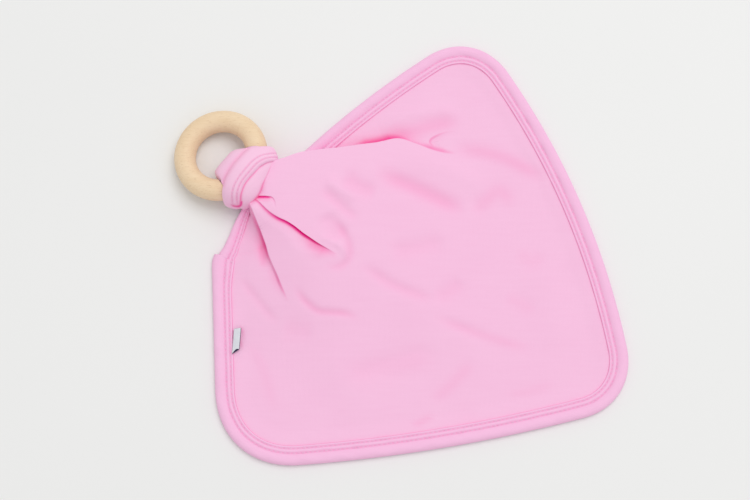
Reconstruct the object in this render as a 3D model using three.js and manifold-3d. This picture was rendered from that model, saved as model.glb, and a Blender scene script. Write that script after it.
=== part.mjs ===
// A comfort blanket with a wooden teething ring. A square double-layer jersey blanket with a bound edge
// has one corner drawn through a wooden ring and knotted. It lies on a table, its top on +Z, and fans
// out from the neck under the knot. The origin is under the middle of the whole object.
import * as THREE from "three";
import Module from "manifold-3d";
import { mergeVertices } from "three/addons/utils/BufferGeometryUtils.js";

const wasm = await Module();
wasm.setup();

// Clearance between pieces that touch, how far a cutting block runs past what it cuts, and how close
// two corners of a mesh count as one.
const clearance = 0.3;
const overrun = 10;
const mergeTolerance = 0.0001;

// Wooden ring: outer diameter, thickness of its round section, and how far it leans up at the knot.
const ringDiameter = 70;
const ringThickness = 16;
const ringTiltDeg = 10;
const knotDirectionDeg = -40;

// Cloth: one jersey layer, one layer of the binding, the binding's width and puffed edge, how far the
// panels stay inside its fold, and the even margin that they keep beside it.
const panelThickness = 1;
const bindingThickness = 1;
const bindingWidth = 14;
const bindingPuffHeight = 1.2;
const panelInsetDepth = 3;
const fieldMarginWidth = 2;

// The binding's folded edge as shares of panelInsetDepth and of its height, and where its first stitch row
// lies as a share of its width.
const bindingFoldShares = [
  [1, 0],
  [0.2, 0.2],
  [0, 0.5],
  [0.2, 0.8],
  [1, 1],
];
const stitchShare = 0.6;

// Blanket as it lies. Its full side, the stretch of left edge that shows, and the corners' radii.
const blanketWidth = 305;
const leftEdgeLength = 155;
const cornerRadius = 46;
const pulledCornerRadius = 58;
const joinRadius = 20;
const cornerHandleShare = 0.6;
const bottomBowDepth = 10;
const rightBowDepth = 21;
const topBowDepth = 5;
const leftEdgeHeadingDeg = -87.3;
const bottomEdgeHeadingDeg = 8.9;
const rightEdgeHeadingDeg = 111.8;

// Neck: where the fan of cloth has its centre, how long the gathered stretch is, and where the two
// bound edges come out of it.
const neckRingDistance = 13;
const neckSideOffset = 4.6;
const neckRadius = 45;
const gatherThickness = 5;
const joinNeckDistance = 11;
const joinHeadingDeg = 233.1;
const topEdgeHeadingDeg = 46;
const knotEdgeHeadingDeg = 68;
const neckEdgeHeadingDeg = -129;

// Fullness of the cloth round the neck: its height, how far it reaches on the right and on the left,
// and its run down to the binding.
const domeHeight = 22;
const domeReach = 190;
const domeSideReach = 95;
const domePower = 1.2;
const domeSideDeg = -112;
const domeTurnDeg = 60;
const rollLength = 16;
const settleLength = 12;
const pleatReach = 82;

// Pleats that run out from the neck. Reaches are shares of pleatReach, half-widths too, and depths are
// shares of domeHeight. Each pleat swings from its first heading to its last.
const pleatShares = [
  { firstDeg: -106, lastDeg: -76, start: 0.1, end: 0.95, width: 0.075, depth: 0.5 },
  { firstDeg: -50, lastDeg: -39, start: 0.08, end: 1.0, width: 0.055, depth: 0.8 },
  { firstDeg: 46, lastDeg: 22, start: 0.62, end: 1.5, width: 0.11, depth: 0.4 },
];
const pleatStartFadeShare = 0.2;
const pleatEndFadeShare = 0.6;

// Knot: its length along the ring, its height, its depth from the ring's hole to the neck, and the
// thickness of the cloth in each strap.
const knotLength = 52;
const knotHeight = 37;
const knotDepth = 34;
const loopWidth = 28;
const loopWallThickness = 3;
const loopHoleReach = 21;
const loopBackReach = 10;
const loopRoundRadius = 3;
const wrapWidth = 15.5;
const wrapThickness = 6.4;
const strapWidth = 15;
const strapThickness = 5;
const strapRoundPower = 0.7;
const coreLength = 34;
const coreDepth = 13;
const coreHeight = 24;
const coreRingDistance = 9;

// Routes of the two straps over the knot, as shares of knotDepth, knotLength and knotHeight, each with
// the strap's width there as a share of its full width.
const wrapRouteShares = [
  [0.09, -0.38, 0.09, 0.8],
  [-0.05, -0.38, 0.42, 0.95],
  [-0.2, -0.21, 0.8, 1],
  [-0.26, 0.02, 0.9, 1],
  [-0.23, 0.25, 0.85, 1],
  [-0.11, 0.41, 0.58, 0.95],
  [0, 0.44, 0.12, 0.8],
];
const strapRouteShares = [
  [0.22, 0.39, 0.28, 0.3],
  [0.17, 0.3, 0.6, 0.6],
  [0.16, 0.12, 0.76, 0.95],
  [0.2, -0.08, 0.74, 1],
  [0.28, -0.24, 0.5, 0.8],
  [0.33, -0.3, 0.1, 0.6],
];

// Label: a folded ribbon tag sewn in under the binding's inner edge.
const labelLength = 20;
const labelReach = 6.6;
const labelThickness = 0.8;
const labelJoinDistance = 62;
const labelLiftDeg = 4;

// Counts of facets and steps, and the extra stations that a turn of the outline gets as a share of
// blanketWidth.
const ringSegments = 56;
const ringSides = 16;
const outlineSteps = 480;
const sideSteps = 13;
const farSteps = 27;
const turnWeightShare = 0.43;
const neckDensity = 1.35;
const strapSides = 12;
const strapSteps = 18;
const neckRays = 28;
const neckRings = 7;
const coreSegments = 20;
const loopFacets = 28;
const loopBevels = 3;

// Sizes that follow from the ones above.
const radians = THREE.MathUtils.degToRad;
const ringTubeRadius = ringThickness / 2;
const ringRadius = ringDiameter / 2 - ringTubeRadius;
const ringCentreHeight = ringTubeRadius + ringRadius * Math.sin(radians(ringTiltDeg));
const crossingHeight = ringCentreHeight + ringRadius * Math.sin(radians(ringTiltDeg));
const crossingReach = ringRadius * Math.cos(radians(ringTiltDeg));
const flatStack = 2 * panelThickness + clearance;
const rimStack = bindingThickness + clearance + flatStack;
const bindingHeight = rimStack + clearance + bindingThickness;
const rimWidth = bindingWidth + fieldMarginWidth;
const joinReach = neckRadius + joinNeckDistance;
const rimTurnDeg = THREE.MathUtils.radToDeg(rimWidth / neckRadius);
const gatherRadius = neckRadius * Math.cos(radians(rimTurnDeg / 2));

const cosine = (deg) => Math.cos(radians(deg));
const sine = (deg) => Math.sin(radians(deg));
const polar = (reach, deg) => new THREE.Vector2(reach * cosine(deg), reach * sine(deg));
const mix = THREE.MathUtils.lerp;

// The knot's own axes on the table: depth runs from the ring's middle to the neck, length across it.
const knotDepthAxis = polar(1, knotDirectionDeg);
const knotLengthAxis = polar(1, knotDirectionDeg + 90);
const crossing = knotDepthAxis.clone().multiplyScalar(crossingReach);
const fanCentre = crossing
  .clone()
  .addScaledVector(knotDepthAxis, neckRingDistance)
  .addScaledVector(knotLengthAxis, -neckSideOffset);

// Where the ring's centre is the plan's zero, the place at a depth, length and height in the knot.
function knotPlace(depth, length, height) {
  const plan = crossing
    .clone()
    .addScaledVector(knotDepthAxis, depth)
    .addScaledVector(knotLengthAxis, length);
  return new THREE.Vector3(plan.x, plan.y, height);
}

function smooth(value) {
  const t = THREE.MathUtils.clamp(value, 0, 1);
  return t * t * (3 - 2 * t);
}

// Closed surfaces as manifold-3d solids, and back again.
function toSolid(geometry) {
  const bare = geometry.clone();
  for (const name of Object.keys(bare.attributes)) {
    if (name !== "position") bare.deleteAttribute(name);
  }
  const merged = mergeVertices(bare, mergeTolerance);
  const mesh = new wasm.Mesh({
    numProp: 3,
    vertProperties: new Float32Array(merged.attributes.position.array),
    triVerts: new Uint32Array(merged.index.array),
  });
  return new wasm.Manifold(mesh);
}

function toGeometry(solid) {
  const mesh = solid.getMesh();
  return new THREE.BufferGeometry()
    .setAttribute("position", new THREE.BufferAttribute(mesh.vertProperties, 3))
    .setIndex(new THREE.BufferAttribute(mesh.triVerts, 1));
}

// What is left of a soft piece when stiffer neighbours have taken their room: its largest body.
function cutBy(solid, cutters) {
  const left = cutters.reduce((rest, cutter) => rest.subtract(cutter), solid);
  return left.decompose().sort((a, b) => b.volume() - a.volume())[0];
}

function clothMaterial(colour) {
  return new THREE.MeshStandardMaterial({ color: colour, roughness: 0.92, metalness: 0 });
}

function namedMesh(name, geometry, material) {
  const flat = geometry.index ? geometry.toNonIndexed() : geometry;
  flat.computeVertexNormals();
  const mesh = new THREE.Mesh(flat, material);
  mesh.name = name;
  return mesh;
}

// A closed solid through a row of rings of points, with flat ends.
function loft(rings) {
  const size = rings[0].length;
  const positions = rings.flat().flatMap((point) => [point.x, point.y, point.z]);
  const indices = [];
  for (let i = 0; i + 1 < rings.length; i++) {
    for (let k = 0; k < size; k++) {
      const a = i * size + k;
      const b = i * size + ((k + 1) % size);
      indices.push(a, b, b + size, a, b + size, a + size);
    }
  }
  const last = (rings.length - 1) * size;
  for (const [a, b, c] of capTriangles(rings[0])) indices.push(a, c, b);
  for (const [a, b, c] of capTriangles(rings[rings.length - 1])) {
    indices.push(last + a, last + b, last + c);
  }
  return new THREE.BufferGeometry()
    .setAttribute("position", new THREE.Float32BufferAttribute(positions, 3))
    .setIndex(indices);
}

// The triangles of a flat ring of points that turns leftward about the loft's direction.
function capTriangles(ring) {
  const middle = ring.reduce((sum, p) => sum.add(p), new THREE.Vector3()).divideScalar(ring.length);
  const normal = new THREE.Vector3();
  ring.forEach((point, k) => {
    const next = ring[(k + 1) % ring.length];
    normal.add(point.clone().sub(middle).cross(next.clone().sub(middle)));
  });
  normal.normalize();
  const across = ring[0].clone().sub(middle);
  across.addScaledVector(normal, -across.dot(normal)).normalize();
  const up = normal.clone().cross(across);
  const flat = ring.map((point) => {
    const arm = point.clone().sub(middle);
    return new THREE.Vector2(arm.dot(across), arm.dot(up));
  });
  return THREE.ShapeUtils.triangulateShape(flat, []);
}

// Corners of the blanket's outline on the plan, from the join in the binding round to the top edge.
function outlineCorners() {
  const join = fanCentre.clone().add(polar(joinReach, joinHeadingDeg));
  const lowerLeft = join.clone().add(polar(leftEdgeLength, leftEdgeHeadingDeg));
  const lowerRight = lowerLeft.clone().add(polar(blanketWidth, bottomEdgeHeadingDeg));
  const top = lowerRight.clone().add(polar(blanketWidth, rightEdgeHeadingDeg));
  return {
    start: fanCentre.clone().add(polar(neckRadius + clearance, joinHeadingDeg)),
    join,
    lowerLeft,
    lowerRight,
    top,
    end: fanCentre.clone().add(polar(neckRadius + clearance, topEdgeHeadingDeg)),
  };
}

// One side of the outline between two corners, bowed outward.
function bowedSide(from, to, bow) {
  const chord = to.clone().sub(from).normalize();
  const outward = new THREE.Vector2(chord.y, -chord.x);
  const middle = from.clone().lerp(to, 0.5).addScaledVector(outward, 2 * bow);
  return new THREE.QuadraticBezierCurve(from, middle, to);
}

// The share of a side that its rounded corner takes up.
function cornerShare(before, after, radius, side) {
  const turn = Math.abs(before.angleTo(after));
  return (radius * Math.tan(turn / 2)) / side.getLength();
}

// The outline as one row of closely spaced points, its corners rounded.
function outlinePoints() {
  const at = outlineCorners();
  const sides = [
    bowedSide(at.start, at.join, 0),
    bowedSide(at.join, at.lowerLeft, 0),
    bowedSide(at.lowerLeft, at.lowerRight, bottomBowDepth),
    bowedSide(at.lowerRight, at.top, rightBowDepth),
    bowedSide(at.top, at.end, topBowDepth),
  ];
  const radii = [joinRadius, pulledCornerRadius, cornerRadius, cornerRadius];
  const path = new THREE.CurvePath();
  let from = 0;
  sides.forEach((side, i) => {
    const next = sides[i + 1];
    const turnIn = side.getTangent(1);
    const turnOut = next ? next.getTangent(0) : turnIn;
    const to = next ? 1 - cornerShare(turnIn, turnOut, radii[i], side) : 1;
    path.add(partOf(side, from, to));
    if (!next) return;
    const rest = cornerShare(turnIn, turnOut, radii[i], next);
    path.add(corner(side, to, next, rest));
    from = rest;
  });
  return path.getSpacedPoints(outlineSteps);
}

function partOf(side, from, to) {
  const middle = side.getPoint((from + to) / 2);
  const first = side.getPoint(from);
  const last = side.getPoint(to);
  const control = middle.clone().multiplyScalar(2).sub(first.clone().add(last).multiplyScalar(0.5));
  return new THREE.QuadraticBezierCurve(first, control, last);
}

function corner(side, to, next, rest) {
  const first = side.getPoint(to);
  const last = next.getPoint(rest);
  const tip = side.getPoint(1);
  const second = first.clone().lerp(tip, cornerHandleShare);
  const third = last.clone().lerp(tip, cornerHandleShare);
  return new THREE.CubicBezierCurve(first, second, third, last);
}

// Stations along the outline, closer where it turns and near the neck, and the ones at the two corners
// where the left and top edges end.
function outlineStations() {
  const points = outlinePoints();
  const heading = points.map((point, i) => {
    const next = points[Math.min(i + 1, points.length - 1)];
    const last = points[Math.max(i - 1, 0)];
    return next.clone().sub(last).normalize();
  });
  const reach = [0];
  for (let i = 1; i < points.length; i++) {
    const turn = Math.abs(heading[i].angleTo(heading[i - 1]));
    const bend = Math.min(turn, 2 * Math.PI - turn);
    const step = points[i].distanceTo(points[i - 1]);
    reach.push(reach[i - 1] + step + turnWeightShare * blanketWidth * bend);
  }
  const at = outlineCorners();
  const nearest = (place) => {
    const gaps = points.map((point) => point.distanceTo(place));
    return gaps.indexOf(Math.min(...gaps));
  };
  const left = reach[nearest(at.lowerLeft)];
  const top = reach[nearest(at.top)];
  const total = reach[reach.length - 1];
  const stops = [];
  for (let k = 0; k < sideSteps; k++) stops.push(left * (k / sideSteps) ** neckDensity);
  for (let k = 0; k < farSteps; k++) stops.push(mix(left, top, k / farSteps));
  for (let k = sideSteps; k >= 0; k--) stops.push(mix(total, top, (k / sideSteps) ** neckDensity));
  return stops.map((stop) => {
    const after = Math.max(1, reach.findIndex((value) => value >= stop));
    const share = (stop - reach[after - 1]) / (reach[after] - reach[after - 1]);
    const point = points[after - 1].clone().lerp(points[after], share);
    const along = heading[after - 1].clone().lerp(heading[after], share).normalize();
    return { point, inward: new THREE.Vector2(-along.y, along.x) };
  });
}

const outline = outlinePoints();
const stations = outlineStations();

// How far a place lies inside the blanket's outer edge.
function edgeDistance(place) {
  let least = Infinity;
  for (let i = 0; i + 1 < outline.length; i++) {
    const step = outline[i + 1].clone().sub(outline[i]);
    const arm = place.clone().sub(outline[i]);
    const share = THREE.MathUtils.clamp(arm.dot(step) / step.lengthSq(), 0, 1);
    least = Math.min(least, arm.distanceTo(step.multiplyScalar(share)));
  }
  return least;
}

// How much a pleat lowers the cloth at a reach and heading from the fan's centre.
function pleatDepth(pleat, reach, headingDeg) {
  const along = (reach / pleatReach - pleat.start) / (pleat.end - pleat.start);
  if (along < 0 || along > 1) return 0;
  const centreDeg = mix(pleat.firstDeg, pleat.lastDeg, smooth(along));
  const away = reach * Math.sin(radians(headingDeg - centreDeg));
  const width = pleatReach * pleat.width * (1 + along);
  const fade = smooth(along / pleatStartFadeShare) * smooth((1 - along) / pleatEndFadeShare);
  return domeHeight * pleat.depth * fade * Math.exp(-((away / width) ** 2));
}

// How far the full cloth round the neck stands up, its pleats taken off.
function clothLift(reach, headingDeg) {
  const turned = smooth((headingDeg - domeSideDeg) / domeTurnDeg);
  const fullness = mix(domeSideReach, domeReach, turned);
  const swell = (1 + Math.cos(Math.PI * Math.min(1, reach / fullness))) / 2;
  let lift = domeHeight * swell ** domePower;
  for (const pleat of pleatShares) lift -= pleatDepth(pleat, reach, headingDeg);
  return Math.max(0, lift);
}

// Height of the top of the front panel over the table.
function clothTop(place) {
  const arm = place.clone().sub(fanCentre);
  const reach = arm.length();
  const headingDeg = THREE.MathUtils.radToDeg(Math.atan2(arm.y, arm.x));
  const inside = edgeDistance(place) - bindingWidth;
  const lift = clothLift(reach, headingDeg);
  const settled = mix(rimStack, flatStack, smooth(inside / settleLength));
  return settled + lift * smooth(inside / rollLength);
}

// The blanket's plan as a net of places: a field that fans out from the neck, and a rim round it that
// runs into the binding. Each place has its height, and the faces turn leftward seen from above.
function blanketNet() {
  const across = farSteps + 1;
  const down = sideSteps + 1;
  const inner = stations.map(({ point, inward }) => point.clone().addScaledVector(inward, rimWidth));
  const startReach = neckRadius + clearance;
  const startDeg = joinHeadingDeg - 360 + rimTurnDeg;
  const endDeg = topEdgeHeadingDeg - rimTurnDeg;
  inner[0] = fanCentre.clone().add(polar(startReach, startDeg));
  inner[inner.length - 1] = fanCentre.clone().add(polar(startReach, endDeg));
  const left = inner.slice(0, down);
  const far = inner.slice(sideSteps, sideSteps + across);
  const right = inner.slice(sideSteps + farSteps).reverse();
  const near = far.map((_, k) => {
    const heading = mix(startDeg, endDeg, k / farSteps);
    return fanCentre.clone().add(polar(startReach, heading));
  });
  const places = [];
  for (let j = 0; j < down; j++) {
    for (let k = 0; k < across; k++) {
      const u = k / farSteps;
      const v = j / sideSteps;
      const sideways = left[j].clone().lerp(right[j], u);
      const lengthways = near[k].clone().lerp(far[k], v);
      const flat = near[0].clone().lerp(near[farSteps], u);
      flat.lerp(far[0].clone().lerp(far[farSteps], u), v);
      places.push(sideways.add(lengthways).sub(flat));
    }
  }
  const heights = places.map(clothTop);
  const faces = [];
  for (let j = 0; j + 1 < down; j++) {
    for (let k = 0; k + 1 < across; k++) {
      const a = j * across + k;
      faces.push([a, a + across, a + across + 1], [a, a + across + 1, a + 1]);
    }
  }
  return addRim({ places, heights, faces }, across, down);
}

function addRim(net, across, down) {
  const fieldEdge = [];
  for (let j = 0; j < down; j++) fieldEdge.push(j * across);
  for (let k = 1; k < across; k++) fieldEdge.push((down - 1) * across + k);
  for (let j = down - 2; j >= 0; j--) fieldEdge.push(j * across + across - 1);
  let inner = fieldEdge;
  for (const distance of [bindingWidth, panelInsetDepth]) {
    const outer = fieldEdge.map((index, i) => {
      const place = stations[i].point.clone().lerp(net.places[index], distance / rimWidth);
      net.places.push(place);
      net.heights.push(rimStack);
      return net.places.length - 1;
    });
    for (let i = 0; i + 1 < outer.length; i++) {
      net.faces.push([outer[i], outer[i + 1], inner[i + 1]], [outer[i], inner[i + 1], inner[i]]);
    }
    inner = outer;
  }
  return net;
}

// A closed sheet over a net, between two rows of heights.
function sheet(net, tops, floors) {
  const count = net.places.length;
  const layer = (levels) => net.places.flatMap((place, i) => [place.x, place.y, levels[i]]);
  const indices = [];
  const open = new Map();
  for (const face of net.faces) {
    indices.push(...face, face[0] + count, face[2] + count, face[1] + count);
    face.forEach((from, k) => {
      const to = face[(k + 1) % 3];
      if (!open.delete(to + ":" + from)) open.set(from + ":" + to, [from, to]);
    });
  }
  for (const [from, to] of open.values()) {
    indices.push(from, from + count, to + count, from, to + count, to);
  }
  return new THREE.BufferGeometry()
    .setAttribute(
      "position",
      new THREE.Float32BufferAttribute([...layer(tops), ...layer(floors)], 3),
    )
    .setIndex(indices);
}

// The binding's section: distance in from the outer edge, and height. It grips both panels in its slot.
function bindingSection() {
  const crown = bindingHeight + bindingPuffHeight;
  const slotEnd = panelInsetDepth - clearance;
  const stitchRow = bindingWidth * stitchShare;
  const fold = bindingFoldShares.map(([inset, height]) => [panelInsetDepth * inset, crown * height]);
  return [
    [bindingWidth, 0],
    ...fold,
    [(panelInsetDepth + stitchRow) / 2, crown],
    [stitchRow, bindingHeight],
    [bindingWidth, bindingHeight],
    [bindingWidth, bindingHeight - bindingThickness],
    [slotEnd, bindingHeight - bindingThickness],
    [slotEnd, bindingThickness],
    [bindingWidth, bindingThickness],
  ].reverse();
}

function edgeBinding() {
  const section = bindingSection();
  const rings = stations.map(({ point, inward }) =>
    section.map(([distance, height]) => {
      const plan = point.clone().addScaledVector(inward, distance);
      return new THREE.Vector3(plan.x, plan.y, height);
    }),
  );
  return loft(rings);
}

// The gathered cloth between the knot and the fan, before the knot has taken its room.
function neckFan() {
  const places = [fanCentre.clone()];
  const heights = [clothTop(fanCentre)];
  const faces = [];
  for (let j = 1; j <= neckRings; j++) {
    const reach = (gatherRadius * j) / neckRings;
    const lastDeg = mix(knotEdgeHeadingDeg, topEdgeHeadingDeg, (j / neckRings) ** 2);
    const firstDeg = mix(neckEdgeHeadingDeg, joinHeadingDeg - 360, j / neckRings);
    for (let k = 0; k <= neckRays; k++) {
      const share = k / neckRays;
      const place = fanCentre.clone().add(polar(reach, mix(firstDeg, lastDeg, share)));
      const fromSide = reach * radians(lastDeg - firstDeg) * Math.min(share, 1 - share);
      places.push(place);
      heights.push(neckTop(place, reach, fromSide));
    }
  }
  const ringSize = neckRays + 1;
  for (let k = 0; k < neckRays; k++) faces.push([0, k + 1, k + 2]);
  for (let j = 0; j + 1 < neckRings; j++) {
    for (let k = 0; k < neckRays; k++) {
      const a = 1 + j * ringSize + k;
      faces.push([a, a + ringSize, a + ringSize + 1], [a, a + ringSize + 1, a + 1]);
    }
  }
  const floors = heights.map((height) => Math.max(clearance, height - gatherThickness));
  return sheet({ places, faces }, heights, floors);
}

function neckTop(place, reach, fromSide) {
  const headingDeg = THREE.MathUtils.radToDeg(
    Math.atan2(place.y - fanCentre.y, place.x - fanCentre.x),
  );
  const rise = mix(1, smooth(fromSide / rollLength), reach / gatherRadius);
  return rimStack + clothLift(reach, headingDeg) * rise;
}

// The ring, lying on the table at one side and lifted by the cloth at the other.
function ringShape(extra) {
  return new THREE.TorusGeometry(ringRadius, ringTubeRadius + extra, ringSides, ringSegments);
}

function placeRing(target) {
  target.position.set(0, 0, ringCentreHeight);
  const hinge = new THREE.Vector3(knotLengthAxis.x, knotLengthAxis.y, 0);
  target.quaternion.setFromAxisAngle(hinge, -radians(ringTiltDeg));
  return target;
}

function ringTool(extra) {
  const placed = placeRing(new THREE.Object3D());
  placed.updateMatrix();
  return toSolid(ringShape(extra).applyMatrix4(placed.matrix));
}

// The strap of cloth that holds the ring: an oval sleeve along the ring, its ends rounded.
function loopTool(extra) {
  const halfDepth = (loopHoleReach + loopBackReach) / 2 + extra;
  const middle = (loopBackReach - loopHoleReach) / 2;
  const top = crossingHeight + ringTubeRadius + loopWallThickness + extra;
  const halfHeight = top / 2;
  const rings = [];
  const steps = 2 * loopBevels + 1;
  for (let i = 0; i <= steps; i++) {
    const turn = (Math.min(i, steps - i) / loopBevels) * (Math.PI / 2);
    const inset = loopRoundRadius * (1 - Math.sin(turn));
    const end = loopWidth / 2 + extra - loopRoundRadius * (1 - Math.cos(turn));
    const length = 2 * i < steps ? -end : end;
    rings.push(ovalRing(middle, length, halfHeight, halfDepth - inset, halfHeight - inset));
  }
  return toSolid(loft(rings));
}

function ovalRing(middle, length, height, halfDepth, halfHeight) {
  const ring = [];
  for (let k = 0; k < loopFacets; k++) {
    const angle = (2 * Math.PI * k) / loopFacets;
    const depth = middle + halfDepth * Math.cos(angle);
    ring.push(knotPlace(depth, length, height - halfHeight * Math.sin(angle)));
  }
  return ring;
}

// A strap that goes over the knot along a route, with a flattened oval section.
function strapTool(routeShares, width, thickness, extra) {
  const route = routeShares.map(([depth, length, height]) =>
    knotPlace(depth * knotDepth, length * knotLength, height * knotHeight),
  );
  const curve = new THREE.CatmullRomCurve3(route, false, "centripetal");
  const heart = knotPlace(0, 0, crossingHeight);
  const rings = [];
  for (let i = 0; i <= strapSteps; i++) {
    const share = i / strapSteps;
    const centre = curve.getPoint(share);
    const along = curve.getTangent(share);
    const outward = centre.clone().sub(heart);
    outward.addScaledVector(along, -outward.dot(along)).normalize();
    const across = outward.clone().cross(along);
    const spot = share * (routeShares.length - 1);
    const before = Math.min(Math.floor(spot), routeShares.length - 2);
    const widthShare = mix(routeShares[before][3], routeShares[before + 1][3], spot - before);
    const halfWidth = (width * widthShare) / 2 + extra;
    rings.push(strapRing(centre, across, outward, halfWidth, thickness / 2 + extra));
  }
  return toSolid(loft(rings));
}

function strapRing(centre, across, outward, halfWidth, halfThickness) {
  const ring = [];
  for (let k = 0; k < strapSides; k++) {
    const angle = (2 * Math.PI * k) / strapSides;
    const sideways = Math.sign(Math.cos(angle)) * Math.abs(Math.cos(angle)) ** strapRoundPower;
    const upward = Math.sign(Math.sin(angle)) * Math.abs(Math.sin(angle)) ** strapRoundPower;
    const point = centre.clone().addScaledVector(across, halfWidth * sideways);
    ring.push(point.addScaledVector(outward, halfThickness * upward));
  }
  return ring;
}

function coreTool(extra) {
  const ball = new THREE.SphereGeometry(1, coreSegments, coreSegments / 2);
  const middle = knotPlace(coreRingDistance, 0, coreHeight / 2);
  const placed = new THREE.Object3D();
  placed.position.copy(middle);
  placed.rotation.z = radians(knotDirectionDeg);
  placed.scale.set(coreDepth / 2 + extra, coreLength / 2 + extra, coreHeight / 2 + extra);
  placed.updateMatrix();
  return toSolid(ball.applyMatrix4(placed.matrix));
}

// All that lies under the table's surface.
function tableTool() {
  const size = 2 * (knotLength + overrun);
  const block = new THREE.BoxGeometry(size, size, overrun);
  block.translate(crossing.x, crossing.y, -overrun / 2);
  return toSolid(block);
}

function sideLabel() {
  const slab = new THREE.BoxGeometry(labelReach, labelLength, labelThickness);
  slab.translate(labelReach / 2, 0, 0);
  return slab;
}

// Where the label is sewn in: its place on the seam, and the way it points into the blanket.
function labelSeat() {
  const at = outlineCorners();
  const along = at.lowerLeft.clone().sub(at.join).normalize();
  const inward = new THREE.Vector2(-along.y, along.x);
  const plan = at.join.clone().addScaledVector(along, labelJoinDistance);
  plan.addScaledVector(inward, bindingWidth + clearance);
  const place = new THREE.Vector3(plan.x, plan.y, bindingHeight + clearance + labelThickness / 2);
  return { place, turn: Math.atan2(inward.y, inward.x) };
}

function buildLovey() {
  const pink = "#f4bdde";
  const pinkBinding = "#f2b4da";
  const beech = "#e6cbab";
  const wood = new THREE.MeshStandardMaterial({ color: beech, roughness: 0.55, metalness: 0 });
  const ribbon = new THREE.MeshStandardMaterial({ color: "#dcdce6", roughness: 0.8, metalness: 0 });
  const lovey = new THREE.Group();

  const ring = placeRing(namedMesh("wooden_ring", ringShape(0), wood));
  const net = blanketNet();
  const lowered = (drop) => net.heights.map((height) => height - drop);
  const frontSheet = sheet(net, net.heights, lowered(panelThickness));
  const backDrop = panelThickness + clearance;
  const backSheet = sheet(net, lowered(backDrop), lowered(backDrop + panelThickness));
  const front = namedMesh("front_panel", frontSheet, clothMaterial(pink));
  const back = namedMesh("back_panel", backSheet, clothMaterial(pink));
  const binding = namedMesh("edge_binding", edgeBinding(), clothMaterial(pinkBinding));

  const table = tableTool();
  const ringRoom = ringTool(clearance);
  const loop = cutBy(loopTool(0), [ringRoom, table]);
  const loopRoom = loopTool(clearance);
  const wrapShape = (extra) => strapTool(wrapRouteShares, wrapWidth, wrapThickness, extra);
  const strapShape = (extra) => strapTool(strapRouteShares, strapWidth, strapThickness, extra);
  const wrap = cutBy(wrapShape(0), [ringRoom, loopRoom, table]);
  const wrapRoom = wrapShape(clearance);
  const strap = cutBy(strapShape(0), [ringRoom, loopRoom, wrapRoom, table]);
  const strapRoom = strapShape(clearance);
  const core = cutBy(coreTool(0), [ringRoom, loopRoom, wrapRoom, strapRoom, table]);
  const coreRoom = coreTool(clearance);
  const neckCutters = [ringRoom, loopRoom, wrapRoom, strapRoom, coreRoom];
  const neck = cutBy(toSolid(neckFan()), neckCutters);

  const knot = new THREE.Group();
  knot.add(namedMesh("ring_loop", toGeometry(loop), clothMaterial(pink)));
  knot.add(namedMesh("knot_wrap", toGeometry(wrap), clothMaterial(pink)));
  knot.add(namedMesh("knot_strap", toGeometry(strap), clothMaterial(pink)));
  knot.add(namedMesh("knot_core", toGeometry(core), clothMaterial(pink)));

  const seat = labelSeat();
  const label = namedMesh("side_label", sideLabel(), ribbon);
  label.position.copy(seat.place);
  label.rotation.set(0, -radians(labelLiftDeg), seat.turn, "ZYX");

  lovey.add(ring, knot, front, back, binding, label);
  lovey.add(namedMesh("neck_gather", toGeometry(neck), clothMaterial(pink)));
  return lovey;
}

// The part's origin is on the table under the middle of its outer box.
const lovey = buildLovey();
const box = new THREE.Box3().setFromObject(lovey);
const middle = box.getCenter(new THREE.Vector3());
lovey.position.set(-middle.x, -middle.y, 0);

export default lovey;
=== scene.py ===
"""Comfort blanket knotted on a wooden teething ring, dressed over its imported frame.

The blanket is a square of doubled pink jersey with a bound edge. One corner is drawn through the ring and
knotted, and the rest lies fanned out on a table. Lengths are in millimetres on the plan of the blanket,
measured from the centre that its folds fan out from, until a mesh is made from them in metres.
"""

import logging
import math
from dataclasses import dataclass, field
from enum import Enum
from typing import Any, Sequence

import bmesh
import bpy
import numpy as np
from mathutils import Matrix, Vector


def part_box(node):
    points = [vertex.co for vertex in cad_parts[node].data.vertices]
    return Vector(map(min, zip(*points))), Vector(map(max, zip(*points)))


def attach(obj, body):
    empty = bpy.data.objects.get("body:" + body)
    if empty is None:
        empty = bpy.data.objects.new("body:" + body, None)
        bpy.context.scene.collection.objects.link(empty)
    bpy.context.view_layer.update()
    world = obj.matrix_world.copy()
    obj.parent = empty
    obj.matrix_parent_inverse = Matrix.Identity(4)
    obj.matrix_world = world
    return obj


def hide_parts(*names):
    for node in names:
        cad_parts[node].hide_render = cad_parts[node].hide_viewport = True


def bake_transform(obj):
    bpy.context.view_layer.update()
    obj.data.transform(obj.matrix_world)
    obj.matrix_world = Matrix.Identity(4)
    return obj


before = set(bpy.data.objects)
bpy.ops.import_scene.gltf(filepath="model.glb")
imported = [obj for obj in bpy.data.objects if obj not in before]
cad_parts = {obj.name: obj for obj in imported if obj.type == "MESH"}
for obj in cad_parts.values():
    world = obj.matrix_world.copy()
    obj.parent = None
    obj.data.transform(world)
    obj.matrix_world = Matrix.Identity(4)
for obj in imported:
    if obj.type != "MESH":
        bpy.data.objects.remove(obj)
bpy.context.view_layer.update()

log = logging.getLogger("blanket")

Array = np.ndarray
Point = tuple[float, float]
Path = tuple[Point, ...]
Stops = tuple[tuple[float, float], ...]
Rail = tuple[float, float, float]
Stations = tuple[tuple[Rail, Rail, float], ...]
Colour = tuple[int, int, int]

MM = 0.001
FAR = 1e9
TINY = 1e-9
CURVE_STEPS = 24
RIPPLE_WAVES = 5
RIPPLE_SPREAD = (0.7, 1.6)
RIPPLE_TURN = 6.28
RIPPLE_PEAK = 2.6

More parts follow.
